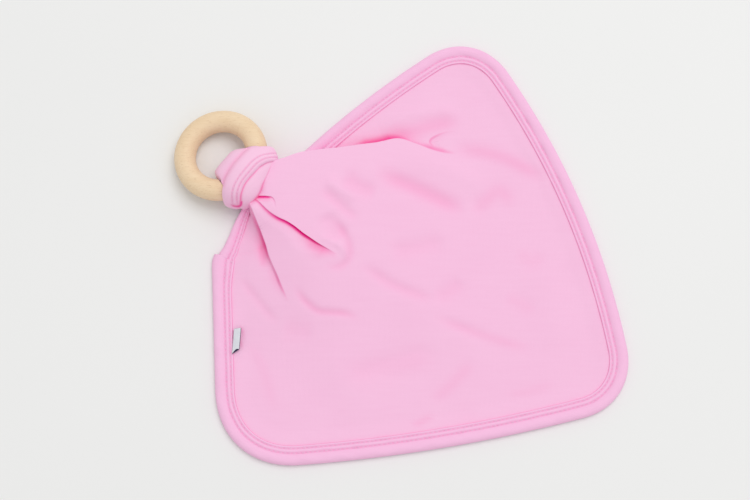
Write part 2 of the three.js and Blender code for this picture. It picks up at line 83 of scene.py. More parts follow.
RING_RADIUS = 27.0
TUBE_RADIUS = 8.0
BINDING_WIDTH = 14.0
NARROW_SHARE = 0.3
JOIN_EXTRA = 2.8
OUTWARD = np.array([0.7660, -0.6428])
ALONG = np.array([0.6428, 0.7660])
RING_AXIS = np.array([-0.13302, 0.11162, 0.98481])
KNOT_CENTRE = np.array([-110.168, 51.980])
FAN_FROM_RING = np.array([27.370, -28.972])
AIM_FROM_RING = np.array([113.707, -68.508])
LABEL_HINGE = np.array([-119.58, -68.0, 5.55])


# Shapes in the plan


def polar(length: float, heading: float) -> Array:
    """Plan vector of a length in millimetres at a heading in degrees."""
    turn = math.radians(heading)
    return np.array([length * math.cos(turn), length * math.sin(turn)])


def eased(share: Any) -> Any:
    """Share held between 0 and 1 and eased at both ends."""
    held = np.clip(share, 0.0, 1.0)
    return held * held * (3.0 - 2.0 * held)


def between(low: Any, high: Any, share: Any) -> Any:
    """Value at a share of the way from low to high."""
    return low + (high - low) * share


def lengths_along(points: Array, axes: int) -> Array:
    """Running length at each point of a path.

    Args:
        points: one row for each point of the path.
        axes: how many of its columns are coordinates.

    Returns:
        The length from the first point to each point.
    """
    steps = np.linalg.norm(np.diff(points[:, :axes], axis=0), axis=1)
    return np.concatenate([[0.0], np.cumsum(steps)])


def through(points: Sequence[Sequence[float]], step: float, axes: int = 2) -> Array:
    """Smooth path through points, with points an even step apart.

    Args:
        points: coordinates, and after them any values that change along the path.
        step: length between the new points.
        axes: how many of the columns are coordinates.

    Returns:
        One row for each new point, with as many columns as the given ones.
    """
    knots = np.asarray(points, float)
    ends = np.vstack([2 * knots[0] - knots[1], knots, 2 * knots[-1] - knots[-2]])
    share = np.linspace(0.0, 1.0, CURVE_STEPS, endpoint=False)[:, None]
    runs = []
    for a, b, c, d in zip(ends[:-3], ends[1:-2], ends[2:-1], ends[3:]):
        bend = (2 * a - 5 * b + 4 * c - d) * share**2 + (3 * b - a - 3 * c + d) * share**3
        runs.append((2 * b + (c - a) * share + bend) / 2)
    fine = np.vstack([*runs, knots[-1:]])
    return evenly(fine, step, axes)


def evenly(points: Array, step: float, axes: int = 2) -> Array:
    """The same path with its points an even step apart."""
    along = lengths_along(points, axes)
    stations = np.linspace(0.0, along[-1], max(2, round(along[-1] / step)) + 1)
    return np.column_stack([np.interp(stations, along, column) for column in points.T])


def tangents(path: Array) -> Array:
    """Unit direction of a path at each of its points."""
    run = np.gradient(path, axis=0)
    return run / np.maximum(np.linalg.norm(run, axis=1, keepdims=True), TINY)


def inward(path: Array) -> Array:
    """Unit normal to the left of a plan path, which is the blanket's side of its outline."""
    run = tangents(path)
    return np.column_stack([-run[:, 1], run[:, 0]])


def rounded_box(turns: Array, power: float) -> tuple[Array, Array]:
    """Section between a circle and a square: across and up, from -1 to 1, at angles round it."""
    cosine, sine = np.cos(turns), np.sin(turns)
    return np.sign(cosine) * np.abs(cosine) ** power, np.sign(sine) * np.abs(sine) ** power


def ripple(position: Array, wave: float, seed: int) -> Array:
    """Soft uneven ripple between about -1 and 1.

    Args:
        position: where along the piece, in millimetres.
        wave: usual length from crest to crest.
        seed: picks one ripple out of many.

    Returns:
        The ripple's height at each position.
    """
    chance = np.random.default_rng(seed)
    total = np.zeros_like(position, dtype=float)
    for _ in range(RIPPLE_WAVES):
        length = wave * chance.uniform(*RIPPLE_SPREAD)
        total += np.sin(position * 2 * math.pi / length + chance.uniform(0, RIPPLE_TURN))
    return total / RIPPLE_PEAK


def stopped(stops: Stops, share: Any) -> Any:
    """Value at a share of the way, read off a row of stops."""
    table = np.array(stops)
    return np.interp(share, table[:, 0], table[:, 1])


def bell(distance: Any, width: Any, power: float = 2) -> Any:
    """Soft peak of 1 at no distance that fades out over a width."""
    return np.exp(-((distance / width) ** power))


@dataclass(frozen=True)
class Nearest:
    """Where points of the plan lie beside a path."""

    share: Array
    side: Array


def beside(plan: Array, path: Array) -> Nearest:
    """Share of the path passed and signed distance from it, above zero to its left.

    Args:
        plan: points of the plan, one in each row.
        path: the path's points.

    Returns:
        The share from 0 to 1 and the signed distance for each point.
    """
    along = lengths_along(path, 2)
    best = np.full(len(plan), FAR)
    share = np.zeros(len(plan))
    side = np.zeros(len(plan))
    for index in range(len(path) - 1):
        run = path[index + 1] - path[index]
        length = max(np.linalg.norm(run), TINY)
        offset = plan - path[index]
        part = np.clip(offset @ run / length**2, 0.0, 1.0)
        away = offset - part[:, None] * run
        distance = np.linalg.norm(away, axis=1)
        nearer = distance < best
        left = np.sign(run[0] * offset[:, 1] - run[1] * offset[:, 0])
        best = np.where(nearer, distance, best)
        share = np.where(nearer, (along[index] + part * length) / along[-1], share)
        side = np.where(nearer, left * distance, side)
    return Nearest(share, side)


# Meshes


def new_object(name: str, vertices: Array, faces: Sequence[Sequence[int]]) -> bpy.types.Object:
    """Smooth mesh object at the origin, with its place in its mesh.

    Args:
        name: the piece's name.
        vertices: places in millimetres, in the row's frame.
        faces: vertex numbers of each face.

    Returns:
        The new object.
    """
    mesh = bpy.data.meshes.new(name)
    mesh.from_pydata((np.asarray(vertices) * MM).tolist(), [], [list(map(int, face)) for face in faces])
    mesh.update()
    piece = bpy.data.objects.new(name, mesh)
    bpy.context.scene.collection.objects.link(piece)
    mesh.shade_smooth()
    return piece


def alone(piece: bpy.types.Object) -> None:
    """Make a piece the only one selected, and the active one."""
    bpy.ops.object.select_all(action="DESELECT")
    piece.select_set(True)
    bpy.context.view_layer.objects.active = piece


def joined_rows(near: int, far: int, columns: int) -> list[list[int]]:
    """Quads between two rings of vertices.

    Args:
        near: number of the first ring's row.
        far: number of the second ring's row.
        columns: how many vertices are in a row.

    Returns:
        Vertex numbers of each quad; the last one closes the ring.
    """
    here, there = near * columns, far * columns
    steps = [(column, (column + 1) % columns) for column in range(columns)]
    return [[here + column, here + after, there + after, there + column] for column, after in steps]


def grid_faces(rows: int, columns: int, closed: bool = False) -> list[list[int]]:
    """Quads of a grid of vertices that is numbered row by row.

    Args:
        rows: how many rows of vertices there are.
        columns: how many vertices are in a row.
        closed: whether each row is a ring.

    Returns:
        Vertex numbers of each quad.
    """
    reach = columns if closed else columns - 1
    return [face for row in range(rows - 1) for face in joined_rows(row, row + 1, columns)[:reach]]


def closed_tube(name: str, points: Array, count: int, ring: int, dark: Array) -> bpy.types.Object:
    """Closed piece from sections that follow one another, with a cap at each end.

    Args:
        name: the piece's name.
        points: the sections' points, one section after another.
        count: how many sections there are.
        ring: points in a section.
        dark: strength of the painted shade at each point, stored as 'fold'.

    Returns:
        The new object.
    """
    caps = [list(range(ring)), list(range((count - 1) * ring, count * ring))]
    piece = new_object(name, points, grid_faces(count, ring, True) + caps)
    put_values(piece, "fold", dark)
    return outward(piece)


def outward(piece: bpy.types.Object) -> bpy.types.Object:
    """Turn all faces of a closed mesh outwards."""
    body = bmesh.new()
    body.from_mesh(piece.data)
    bmesh.ops.recalc_face_normals(body, faces=body.faces)
    body.to_mesh(piece.data)
    body.free()
    return piece


def finished(piece: bpy.types.Object, kind: str, **settings: Any) -> None:
    """Add a modifier to a piece and apply it.

    Args:
        piece: the piece to finish.
        kind: the modifier's type.
        settings: its settings by name.
    """
    alone(piece)
    modifier = piece.modifiers.new(kind.lower(), kind)
    for name, value in settings.items():
        setattr(modifier, name, value)
    bpy.ops.object.modifier_apply(modifier=modifier.name)


def put_values(piece: bpy.types.Object, name: str, values: Array) -> None:
    """Store one number for each vertex of a piece under a name that its material reads."""
    attribute = piece.data.attributes.get(name) or piece.data.attributes.new(name, "FLOAT", "POINT")
    attribute.data.foreach_set("value", np.asarray(values, np.float32))


def places(piece: bpy.types.Object) -> Array:
    """Vertex places of a piece in millimetres."""
    flat = np.empty(len(piece.data.vertices) * 3)
    piece.data.vertices.foreach_get("co", flat)
    return flat.reshape(-1, 3) / MM


def move_to(piece: bpy.types.Object, vertices: Array) -> None:
    """Give a piece's vertices new places in millimetres."""
    piece.data.vertices.foreach_set("co", (vertices * MM).ravel())
    piece.data.update()


# Finishes


MIX_SHARE, MIX_FIRST, MIX_SECOND = 0, 6, 7
MIX_RESULT = 2

SCREEN_KNEE = 0.04045
SCREEN_SLOPE = 12.92
SCREEN_OFFSET = 0.055
SCREEN_POWER = 2.4


class Value:
    """Number inside a material, made into node maths by Python's operators."""

    def __init__(self, graph: "Graph", socket: bpy.types.NodeSocket) -> None:
        """Wrap a socket of one material's graph."""
        self.graph = graph
        self.socket = socket

    def _maths(self, operation: str, first: Any, second: Any = None) -> "Value":
        """Add one Math node on two inputs."""
        inputs = {0: first} if second is None else {0: first, 1: second}
        return self.graph.node("ShaderNodeMath", {"operation": operation}, inputs).value(0)

    def __add__(self, other: Any) -> "Value":
        """Sum."""
        return self._maths("ADD", self, other)

    def __radd__(self, other: Any) -> "Value":
        """Sum with a number on the left."""
        return self._maths("ADD", other, self)

    def __sub__(self, other: Any) -> "Value":
        """Difference."""
        return self._maths("SUBTRACT", self, other)

    def __mul__(self, other: Any) -> "Value":
        """Product."""
        return self._maths("MULTIPLY", self, other)

    def sine(self) -> "Value":
        """Sine."""
        return self._maths("SINE", self)

    def held(self) -> "Value":
        """Value held between 0 and 1."""
        return self.graph.node("ShaderNodeClamp", {}, {0: self}).value(0)

    def span(self, low: float, high: float) -> "Value":
        """Share of the way from low to high, held between 0 and 1."""
        inputs = {"Value": self, "From Min": low, "From Max": high}
        return self.graph.node("ShaderNodeMapRange", {"interpolation_type": "SMOOTHSTEP"}, inputs).value(0)


@dataclass(frozen=True)
class Noise:
    """Layer of noise: how finely it varies, in how many octaves, and how it is stretched."""

    scale: float
    detail: float = 2.0
    roughness: float = 0.5
    stretch: tuple[float, float, float] = (1, 1, 1)


@dataclass
class Made:
    """A node that was added, with its outputs at hand."""

    graph: "Graph"
    node: bpy.types.Node

    def value(self, output: Any) -> Value:
        """Output as a number."""
        return Value(self.graph, self.node.outputs[output])

    def out(self, output: Any) -> bpy.types.NodeSocket:
        """Output as a plain socket."""
        return self.node.outputs[output]


class Graph:
    """Node tree of one material, with a Principled surface."""

    def __init__(self, name: str, constants: dict[str, Any]) -> None:
        """Make the material.

        Args:
            name: the material's name.
            constants: values set straight on the surface's sockets.
        """
        self.material = bpy.data.materials.new(name)
        self.material.use_nodes = True
        self.tree = self.material.node_tree
        self.surface = self.tree.nodes["Principled BSDF"]
        for socket, value in constants.items():
            self.surface.inputs[socket].default_value = value
        self.where = self.node("ShaderNodeTexCoord").out("Object")

    def node(self, kind: str, settings: dict[str, Any] | None = None,
             inputs: dict[Any, Any] | None = None) -> Made:
        """Add a node.

        Args:
            kind: the node's type.
            settings: its settings, set before anything else.
            inputs: values or links of its sockets, by name or number.

        Returns:
            The node with its outputs at hand.
        """
        made = self.tree.nodes.new(kind)
        for name, value in (settings or {}).items():
            setattr(made, name, value)
        for socket, value in (inputs or {}).items():
            self.feed(made.inputs[socket], value)
        return Made(self, made)

    def feed(self, socket: bpy.types.NodeSocket, value: Any) -> None:
        """Link a value or an output to a socket, or set a constant on it."""
        if isinstance(value, Value):
            self.tree.links.new(value.socket, socket)
        elif isinstance(value, bpy.types.NodeSocket):
            self.tree.links.new(value, socket)
        else:
            socket.default_value = value

    def mapped(self, turn: Sequence[float] = (0, 0, 0), scale: Sequence[float] = (1, 1, 1),
               source: bpy.types.NodeSocket | None = None) -> bpy.types.NodeSocket:
        """Coordinates turned by degrees and stretched."""
        inputs = {"Vector": source or self.where, "Scale": tuple(scale),
                  "Rotation": tuple(math.radians(angle) for angle in turn)}
        return self.node("ShaderNodeMapping", {}, inputs).out(0)

    def noise(self, vector: bpy.types.NodeSocket, layer: Noise) -> Value:
        """Noise between 0 and 1 over a vector."""
        inputs = {"Vector": vector, "Scale": layer.scale, "Detail": layer.detail,
                  "Roughness": layer.roughness}
        return self.node("ShaderNodeTexNoise", {}, inputs).value(0)

    def wave(self, place: Value, length: float) -> Value:
        """Sine over a coordinate, with a wave of so many millimetres."""
        return (place * (2 * math.pi / (length * MM))).sine()

    def stored(self, name: str) -> Value:
        """Number stored on the piece's vertices."""
        return self.node("ShaderNodeAttribute", {"attribute_name": name}).value("Fac")

    def mixed(self, share: Any, first: Any, second: Any) -> bpy.types.NodeSocket:
        """Colour at a share of the way from the first to the second."""
        inputs = {MIX_SHARE: share, MIX_FIRST: first, MIX_SECOND: second}
        return self.node("ShaderNodeMix", {"data_type": "RGBA"}, inputs).out(MIX_RESULT)

    def surface_colour(self, colour: bpy.types.NodeSocket) -> None:
        """Feed the surface's colour."""
        self.feed(self.surface.inputs["Base Color"], colour)

    def surface_relief(self, height: Value, distance: float, strength: float = 1.0) -> None:
        """Feed the surface's normal from a height.

        Args:
            height: relief between about 0 and 1.
            distance: how high a relief of 1 stands, in metres.
            strength: how much of it shows.
        """
        bump = self.node("ShaderNodeBump", {}, {"Height": height, "Distance": distance, "Strength": strength})
        self.feed(self.surface.inputs["Normal"], bump.out(0))

    def surface_roughness(self, roughness: Value) -> None:
        """Feed the surface's roughness."""
        self.feed(self.surface.inputs["Roughness"], roughness)


def linear(red: int, green: int, blue: int) -> tuple[float, float, float, float]:
    """Scene colour of a screen colour from 0 to 255, by the standard curve of screens."""
    shares = [channel / 255 for channel in (red, green, blue)]
    curved = [((share + SCREEN_OFFSET) / (1 + SCREEN_OFFSET)) ** SCREEN_POWER for share in shares]
    lit = [share / SCREEN_SLOPE if share <= SCREEN_KNEE else value for share, value in zip(shares, curved)]
    return (*lit, 1.0)


@dataclass(frozen=True)
class Jersey:
    """Soft cotton jersey: fine wales and faint streaks across them, with painted shade in a deep pink where
    its stored 'fold' values are above zero.
    """

    name: str
    colour: Colour
    shade: Colour
    # deep: colour of the painted shade in creases, grooves and tucks, mixed in by the 'fold' values.
    deep: Colour = (246, 8, 150)
    wale: float = 0.9
    course: float = 0.7
    turn: float = 0.0
    streak: Noise = Noise(42, 3.0, stretch=(1, 9, 1))
    cloud: Noise = Noise(26)
    fuzz: Noise = Noise(1400, 2.0, 0.6)
    relief: float = 0.00012

    def material(self) -> bpy.types.Material:
        """Build the material."""
        graph = Graph(self.name, {"Roughness": 0.88, "Specular IOR Level": 0.18, "Sheen Weight": 0.12,
                                  "Sheen Roughness": 0.55, "Sheen Tint": (1.0, 0.86, 0.94, 1.0)})
        cloth = graph.mapped((0, 0, self.turn))
        parts = graph.node("ShaderNodeSeparateXYZ", {}, {0: cloth})
        wales = graph.wave(parts.value(0), self.wale)
        courses = graph.wave(parts.value(1), self.course)
        streak = graph.noise(graph.mapped(scale=self.streak.stretch, source=cloth), self.streak)
        cloud = graph.noise(graph.where, self.cloud)
        fuzz = graph.noise(graph.where, self.fuzz)
        tone = (streak.span(0.3, 0.72) * 0.45 + cloud.span(0.3, 0.7) * 0.35 + fuzz * 0.2).held()
        plain = graph.mixed(tone * 0.5, linear(*self.colour), linear(*self.shade))
        # Painted shade: the stored 'fold' values mix the deep pink into the colour where creases, grooves and
        # tucks lie in shade.
        fold = graph.stored("fold")
        graph.surface_colour(graph.mixed(fold.held(), plain, linear(*self.deep)))
        relief = wales * 0.2 + wales * courses * 0.25 + fuzz * 0.5 + streak * 0.9
        graph.surface_relief(relief, self.relief, 0.55)
        return graph.material


@dataclass(frozen=True)
class Thread:
    """Soft spun sewing thread with a fine fibre."""

    name: str
    colour: Colour
    darker: int = 14
    fibre: Noise = Noise(2600)
    relief: float = 0.00006

    def material(self) -> bpy.types.Material:
        """Build the material."""
        graph = Graph(self.name, {"Roughness": 0.6, "Specular IOR Level": 0.3, "Sheen Weight": 0.1})
        fibre = graph.noise(graph.where, self.fibre)
        darker = linear(*(channel - self.darker for channel in self.colour))
        graph.surface_colour(graph.mixed(fibre, linear(*self.colour), darker))
        graph.surface_relief(fibre, self.relief, 0.5)
        return graph.material


@dataclass(frozen=True)
class Beech:
    """Turned and sanded beech: long pale grain with short darker flecks, and a faint satin."""

    name: str
    pale: Colour
    brown: Colour
    fleck: Colour
    turn: tuple[float, float, float] = (8.0, 6.0, 34.0)
    bands: Noise = Noise(9, 3.0, 0.55, (3, 34, 34))
    grain: Noise = Noise(5, 4.0, 0.6, (12, 190, 190))
    flecks: Noise = Noise(1.6, 1.0, stretch=(150, 900, 900))
    pores: Noise = Noise(1.2, 1.0, stretch=(400, 2600, 2600))
    cloud: Noise = Noise(30)
    relief: float = 0.00008

    def material(self) -> bpy.types.Material:
        """Build the material."""
        graph = Graph(self.name, {"Specular IOR Level": 0.35, "Coat Weight": 0.06, "Coat Roughness": 0.35})
        plank = graph.mapped(self.turn)
        bands, grain = (self.along_plank(graph, layer) for layer in (self.bands, self.grain))
        flecks = self.along_plank(graph, self.flecks).span(0.6, 0.74)
        pores = self.along_plank(graph, self.pores).span(0.58, 0.8)
        cloud = graph.noise(plank, self.cloud)
        broad = bands.span(0.3, 0.7) * 0.4 + grain.span(0.3, 0.7) * 0.35
        tone = (broad + cloud.span(0.35, 0.7) * 0.25).held()
        wood = graph.mixed(tone, linear(*self.pale), linear(*self.brown))
        marked = graph.mixed((flecks * 0.42 + pores * 0.2).held(), wood, linear(*self.fleck))
        graph.surface_colour(marked)
        graph.surface_roughness(0.46 + grain * 0.14 + pores * 0.1)
        graph.surface_relief(grain * 0.5 - flecks * 0.4 - pores * 0.5, self.relief, 0.5)
        return graph.material

    def along_plank(self, graph: Graph, layer: Noise) -> Value:
        """Noise stretched along the plank that the ring was turned from."""
        return graph.noise(graph.mapped(self.turn, layer.stretch), layer)


@dataclass(frozen=True)
class Ribbon:
    """Woven satin ribbon with a fine cross rib."""

    name: str
    colour: Colour
    shade: Colour
    rib: float = 0.45
    warp: float = 0.3
    cloud: Noise = Noise(300, 3.0)
    relief: float = 0.00006

    def material(self) -> bpy.types.Material:
        """Build the material."""
        graph = Graph(self.name, {"Roughness": 0.5, "Specular IOR Level": 0.35, "Sheen Weight": 0.15})
        parts = graph.node("ShaderNodeSeparateXYZ", {}, {0: graph.where})
        rib = graph.wave(parts.value(1), self.rib)
        warp = graph.wave(parts.value(0), self.warp)
        cloud = graph.noise(graph.where, self.cloud)
        tone = (cloud * 0.7 + rib * 0.1).held()
        graph.surface_colour(graph.mixed(tone, linear(*self.colour), linear(*self.shade)))
        graph.surface_relief(rib * 0.5 + rib * warp * 0.3 + cloud * 0.4, self.relief, 0.6)
        return graph.material


@dataclass(frozen=True)
class PaleCard:
    """Plain pale card under the blanket."""

    name: str
    colour: Colour
    darker: int = 3
    cloud: Noise = Noise(3)

    def material(self) -> bpy.types.Material:
        """Build the material."""
        graph = Graph(self.name, {"Roughness": 0.9, "Specular IOR Level": 0.1})
        cloud = graph.noise(graph.where, self.cloud)
        darker = tuple(channel - self.darker for channel in self.colour)
        graph.surface_colour(graph.mixed(cloud, linear(*self.colour), linear(*darker)))
        return graph.material


# The blanket's plan


@dataclass
class Outline:
    """Outer edge of the blanket on the table, from the knot round its three free corners and back."""

    fan_radius: float = 45.3
    join_radius: float = 56.0
    start_heading: float = 233.1
    end_heading: float = 46.0
    left_length: float = 155.0
    side_length: float = 305.0
    headings: tuple[float, float, float] = (-87.3, 8.9, 111.8)
    bows: tuple[float, ...] = (0.0, 0.0, 10.0, 21.0, 5.0)
    corner_radii: tuple[float, ...] = (20.0, 58.0, 46.0, 46.0)
    corner_handle: float = 0.6
    step: float = 1.0
    side_points: int = 200
    corner_points: int = 60
    knot_side: Path = ((-5.0, -1.0), (-10.2, -7.7))
    roll_side: Path = ((24.5, 24.5), (16.0, 16.5), (7.0, 9.0))
    edge: Array = field(init=False)
    start_length: float = field(init=False)
    join_length: float = field(init=False)
    end_length: float = field(init=False)

    def __post_init__(self) -> None:
        """Lay the edge out."""
        start = polar(self.fan_radius, self.start_heading)
        join = polar(self.join_radius, self.start_heading)
        lower_left = join + polar(self.left_length, self.headings[0])
        lower_right = lower_left + polar(self.side_length, self.headings[1])
        top = lower_right + polar(self.side_length, self.headings[2])
        end = polar(self.fan_radius, self.end_heading)
        corners = [start, join, lower_left, lower_right, top, end]
        sides = [self.side(a, b, bow) for a, b, bow in zip(corners, corners[1:], self.bows)]
        free = self.rounded(sides)
        near = through([*self.knot_side, tuple(start)], self.step)
        far = through([tuple(end), *self.roll_side], self.step)
        whole = np.vstack([near[:-1], free, far[1:]])
        self.edge = evenly(whole, self.step)
        self.start_length = lengths_along(near, 2)[-1]
        self.join_length = self.start_length + self.join_radius - self.fan_radius
        self.end_length = self.start_length + lengths_along(free, 2)[-1]

    @staticmethod
    def side(a: Array, b: Array, bow: float) -> Array:
        """Control points of a side that bows outwards."""
        chord = (b - a) / np.linalg.norm(b - a)
        return np.array([a, (a + b) / 2 + np.array([chord[1], -chord[0]]) * 2 * bow, b])

    @staticmethod
    def curve(controls: Array, shares: Array) -> Array:
        """Points of a Bezier curve."""
        degree = len(controls) - 1
        total = np.zeros((len(shares), 2))
        for index, control in enumerate(controls):
            weight = math.comb(degree, index) * (1 - shares) ** (degree - index) * shares**index
            total += weight[:, None] * control
        return total

    def rounded(self, sides: list[Array]) -> Array:
        """Join the sides with rounded corners."""
        coarse = np.linspace(0, 1, self.corner_points)
        runs, begin = [], 0.0
        for index, controls in enumerate(sides):
            length = lengths_along(self.curve(controls, coarse), 2)[-1]
            if index == len(sides) - 1:
                runs.append(self.curve(controls, np.linspace(begin, 1.0, self.side_points)))
                break
            after = sides[index + 1]
            here, there = controls[2] - controls[1], after[1] - after[0]
            turn = math.acos(np.clip(here @ there / np.linalg.norm(here) / np.linalg.norm(there), -1, 1))
            reach = self.corner_radii[index] * math.tan(turn / 2)
            finish = 1.0 - reach / length
            rest = reach / lengths_along(self.curve(after, coarse), 2)[-1]
            runs.append(self.curve(controls, np.linspace(begin, finish, self.side_points)))
            first = runs[-1][-1]
            last = self.curve(after, np.array([rest]))[0]
            handles = [first + (controls[2] - first) * self.corner_handle,
                       last + (controls[2] - last) * self.corner_handle]
            runs.append(self.curve(np.array([first, *handles, last]), coarse)[1:-1])
            begin = rest
        return np.vstack(runs)

    def inset(self, distance: Array | float) -> Array:
        """The edge moved towards the blanket's middle."""
        return self.edge + inward(self.edge) * np.reshape(distance, (-1, 1))

    def lengths(self) -> Array:
        """Running length at each point of the edge."""
        return lengths_along(self.edge, 2)


class Lip(Enum):
    """Side of a fold's path, along its run, that stands over the valley."""

    LEFT = 1.0
    RIGHT = -1.0


@dataclass(frozen=True)
class Fold:
    """Crease pressed into the cloth: a lip that leans over a valley with a soft far slope, with painted shade
    along it.
    """

    path: Path
    lip: Lip
    depth: float
    soft: float
    wall: float
    lean: float
    strength: Stops
    # tones, glows, shade and halo set the painted shade along the crease: a thin dark line past the lip and a
    # soft halo beside it.
    tones: Stops = ()
    glows: Stops = ()
    leans: Stops = ()
    shade: float = 1.0
    shade_width: float = 1.6
    halo: float = 0.3
    halo_width: float = 5.0
    ease: float = 7.0
    onset: float = 1.2
    narrowest: float = 0.3

    def strengths(self, share: Array) -> Array:
        """How strong the fold is at shares of its path."""
        return stopped(self.strength, share)

    def tone(self, share: Array) -> Array:
        """How strong the painted shade of the thin line is at shares of the path."""
        return stopped(self.tones or self.strength, share)

    def glow(self, share: Array) -> Array:
        """How strong the soft painted shade beside the line is at shares of the path."""
        return stopped(self.glows or self.tones or self.strength, share)

    def leaning(self, share: Array) -> Array:
        """How far the lip leans out at shares of the path."""
        return self.lean * stopped(self.leans or self.strength, share)

    def narrowed(self, width: float, share: Array) -> Array:
        """Width that shrinks, but not to nothing, where the share is small."""
        return width * between(self.narrowest, 1.0, share)

    def foot(self) -> Array:
        """Path of the wall's foot, which the lip leans out over."""
        lip_line = through(self.path, 1.0)
        reach = (self.leaning(np.linspace(0.0, 1.0, len(lip_line))) - self.wall)[:, None]
        return lip_line + inward(lip_line) * self.lip.value * reach

    def across(self, plan: Array) -> tuple[Array, Array]:
        """Strength, and distance from the foot, above zero on the valley's side."""
        near = beside(plan, self.foot())
        return self.strengths(near.share), -near.side * self.lip.value

    def climb(self, out: Array) -> Array:
        """Share of the wall that is climbed, from 0 at its top to 1 at its foot."""
        return eased((out + self.wall) / self.wall)

    def drop(self, plan: Array) -> Array:
        """How far the cloth sinks."""
        strength, out = self.across(plan)
        slope = 1.0 - eased(out / self.narrowed(self.soft, strength**2))
        return self.depth * strength * self.climb(out) * slope

    def shift(self, plan: Array) -> Array:
        """How far the cloth moves over the valley, in the plan."""
        foot = self.foot()
        near = beside(plan, foot)
        out = -near.side * self.lip.value
        before = np.clip(-self.wall - out, 0.0, None)
        size = self.leaning(near.share) * (1.0 - self.climb(out)) * bell(before, self.ease)
        normals = inward(foot)
        index = np.clip((near.share * (len(foot) - 1)).round().astype(int), 0, len(foot) - 1)
        return -normals[index] * self.lip.value * size[:, None]

    def painted_shade(self, plan: Array) -> Array:
        """Painted shade of the fold: a thin dark line past the lip and a soft halo beside it."""
        near = beside(plan, self.foot())
        tone, glow, out = self.tone(near.share), self.glow(near.share), -near.side * self.lip.value
        inside = eased((out + self.wall) / self.onset)
        beyond = np.clip(out + self.wall - self.leaning(near.share) * self.climb(out), 0, None)
        core = self.shade * tone * bell(beyond, self.narrowed(self.shade_width, tone), 3)
        soft = self.halo * glow * bell(beyond, self.narrowed(self.halo_width, glow))
        return np.maximum(core, soft) * inside


@dataclass(frozen=True)
class Flap(Fold):
    """Fold past which the cloth stays low: the full part ends in a wall and a flat flap runs on."""

    flatness: float = 0.85

    def lowering(self, plan: Array) -> Array:
        """Share of the fullness that is taken away."""
        strength, out = self.across(plan)
        return self.flatness * strength * self.climb(out)

    def drop(self, plan: Array) -> Array:
        """A flap has no valley of its own but the dent at the wall's foot."""
        strength, out = self.across(plan)
        return self.depth * strength * self.climb(out) * (1.0 - eased(out / self.soft))


@dataclass(frozen=True)
class Swelling:
    """Low soft ridge, or a soft hollow where its height is below zero."""

    path: Path
    height: float
    width: float
    # Strength of the painted shade laid along the swelling, used on hollows.
    hollow_shade: float = 0.0
    step: float = 2.0
    end_slope: float = 3.6

    def reach(self, plan: Array) -> Array:
        """How near the middle of the ridge the plan's points are, from 0 to 1."""
        near = beside(plan, through(self.path, self.step))
        ends = eased(near.share * self.end_slope) * eased((1 - near.share) * self.end_slope)
        return ends * bell(near.side, self.width)

    def rise(self, plan: Array) -> Array:
        """How far the cloth stands up."""
        return self.height * self.reach(plan)

    def painted_shade(self, plan: Array) -> Array:
        """Painted shade along the swelling."""
        return self.hollow_shade * self.reach(plan)


# The folds: real relief, with painted shade along each crease from its tones, glows, shade and halo.
NECK_ROLL = Flap(
    path=((4.0, 17.4), (9.5, 20.6), (14.6, 22.5), (20.6, 24.5), (31.5, 28.7), (46.0, 31.5), (59.4, 33.8),
          (73.3, 36.6), (87.4, 39.1), (103.1, 42.9), (115.9, 39.4), (127.2, 35.2), (136.5, 32.9),
          (146.6, 31.7)),
    lip=Lip.RIGHT, depth=1.4, soft=12.0, wall=5.5, lean=8.0,
    strength=((0.0, 1.0), (0.39, 1.0), (0.64, 0.85), (0.76, 0.4), (0.88, 0.25), (1.0, 0.0)),
    tones=((0.0, 0.1), (0.38, 0.12), (0.46, 0.4), (0.53, 1.0), (0.66, 1.0), (0.71, 0.65), (0.76, 0.35),
           (0.82, 0.35), (0.87, 0.6), (0.93, 0.5), (1.0, 0.0)),
    glows=((0.0, 0.0), (0.36, 0.1), (0.46, 0.6), (0.6, 1.0), (0.74, 0.9), (0.85, 0.3), (1.0, 0.1)),
    shade=0.84, shade_width=5.6, halo=0.18, halo_width=9.0, ease=10.0)

LEFT_ROLL = Flap(
    path=((-4.7, -9.2), (-2.7, -13.4), (-0.2, -19.3), (2.5, -25.8), (5.2, -32.8), (7.5, -39.2), (9.3, -45.5),
          (12.3, -52.6), (15.7, -59.8), (18.3, -66.1), (21.4, -73.1), (23.8, -79.0)),
    lip=Lip.LEFT, depth=0.6, soft=10.0, wall=4.0, lean=3.6,
    strength=((0.0, 1.0), (0.12, 1.0), (0.25, 0.95), (0.42, 0.9), (0.55, 0.6), (0.8, 0.28), (1.0, 0.0)),
    leans=((0.0, 0.1), (0.12, 0.3), (0.25, 0.9), (0.42, 0.9), (0.55, 0.6), (0.8, 0.28), (1.0, 0.0)),
    tones=((0.0, 0.4), (0.09, 0.5), (0.14, 0.75), (0.28, 0.85), (0.4, 1.0), (0.5, 0.8), (0.6, 0.4),
           (0.68, 0.55), (0.78, 0.75), (0.88, 0.55), (1.0, 0.0)),
    glows=((0.0, 0.3), (0.12, 0.3), (0.2, 0.4), (0.32, 0.8), (0.42, 1.0), (0.52, 0.8), (0.62, 0.4),
           (0.74, 0.6), (0.86, 0.45), (1.0, 0.0)),
    shade=0.72, shade_width=3.4, halo=0.36, halo_width=7.0, ease=8.0, flatness=0.52)

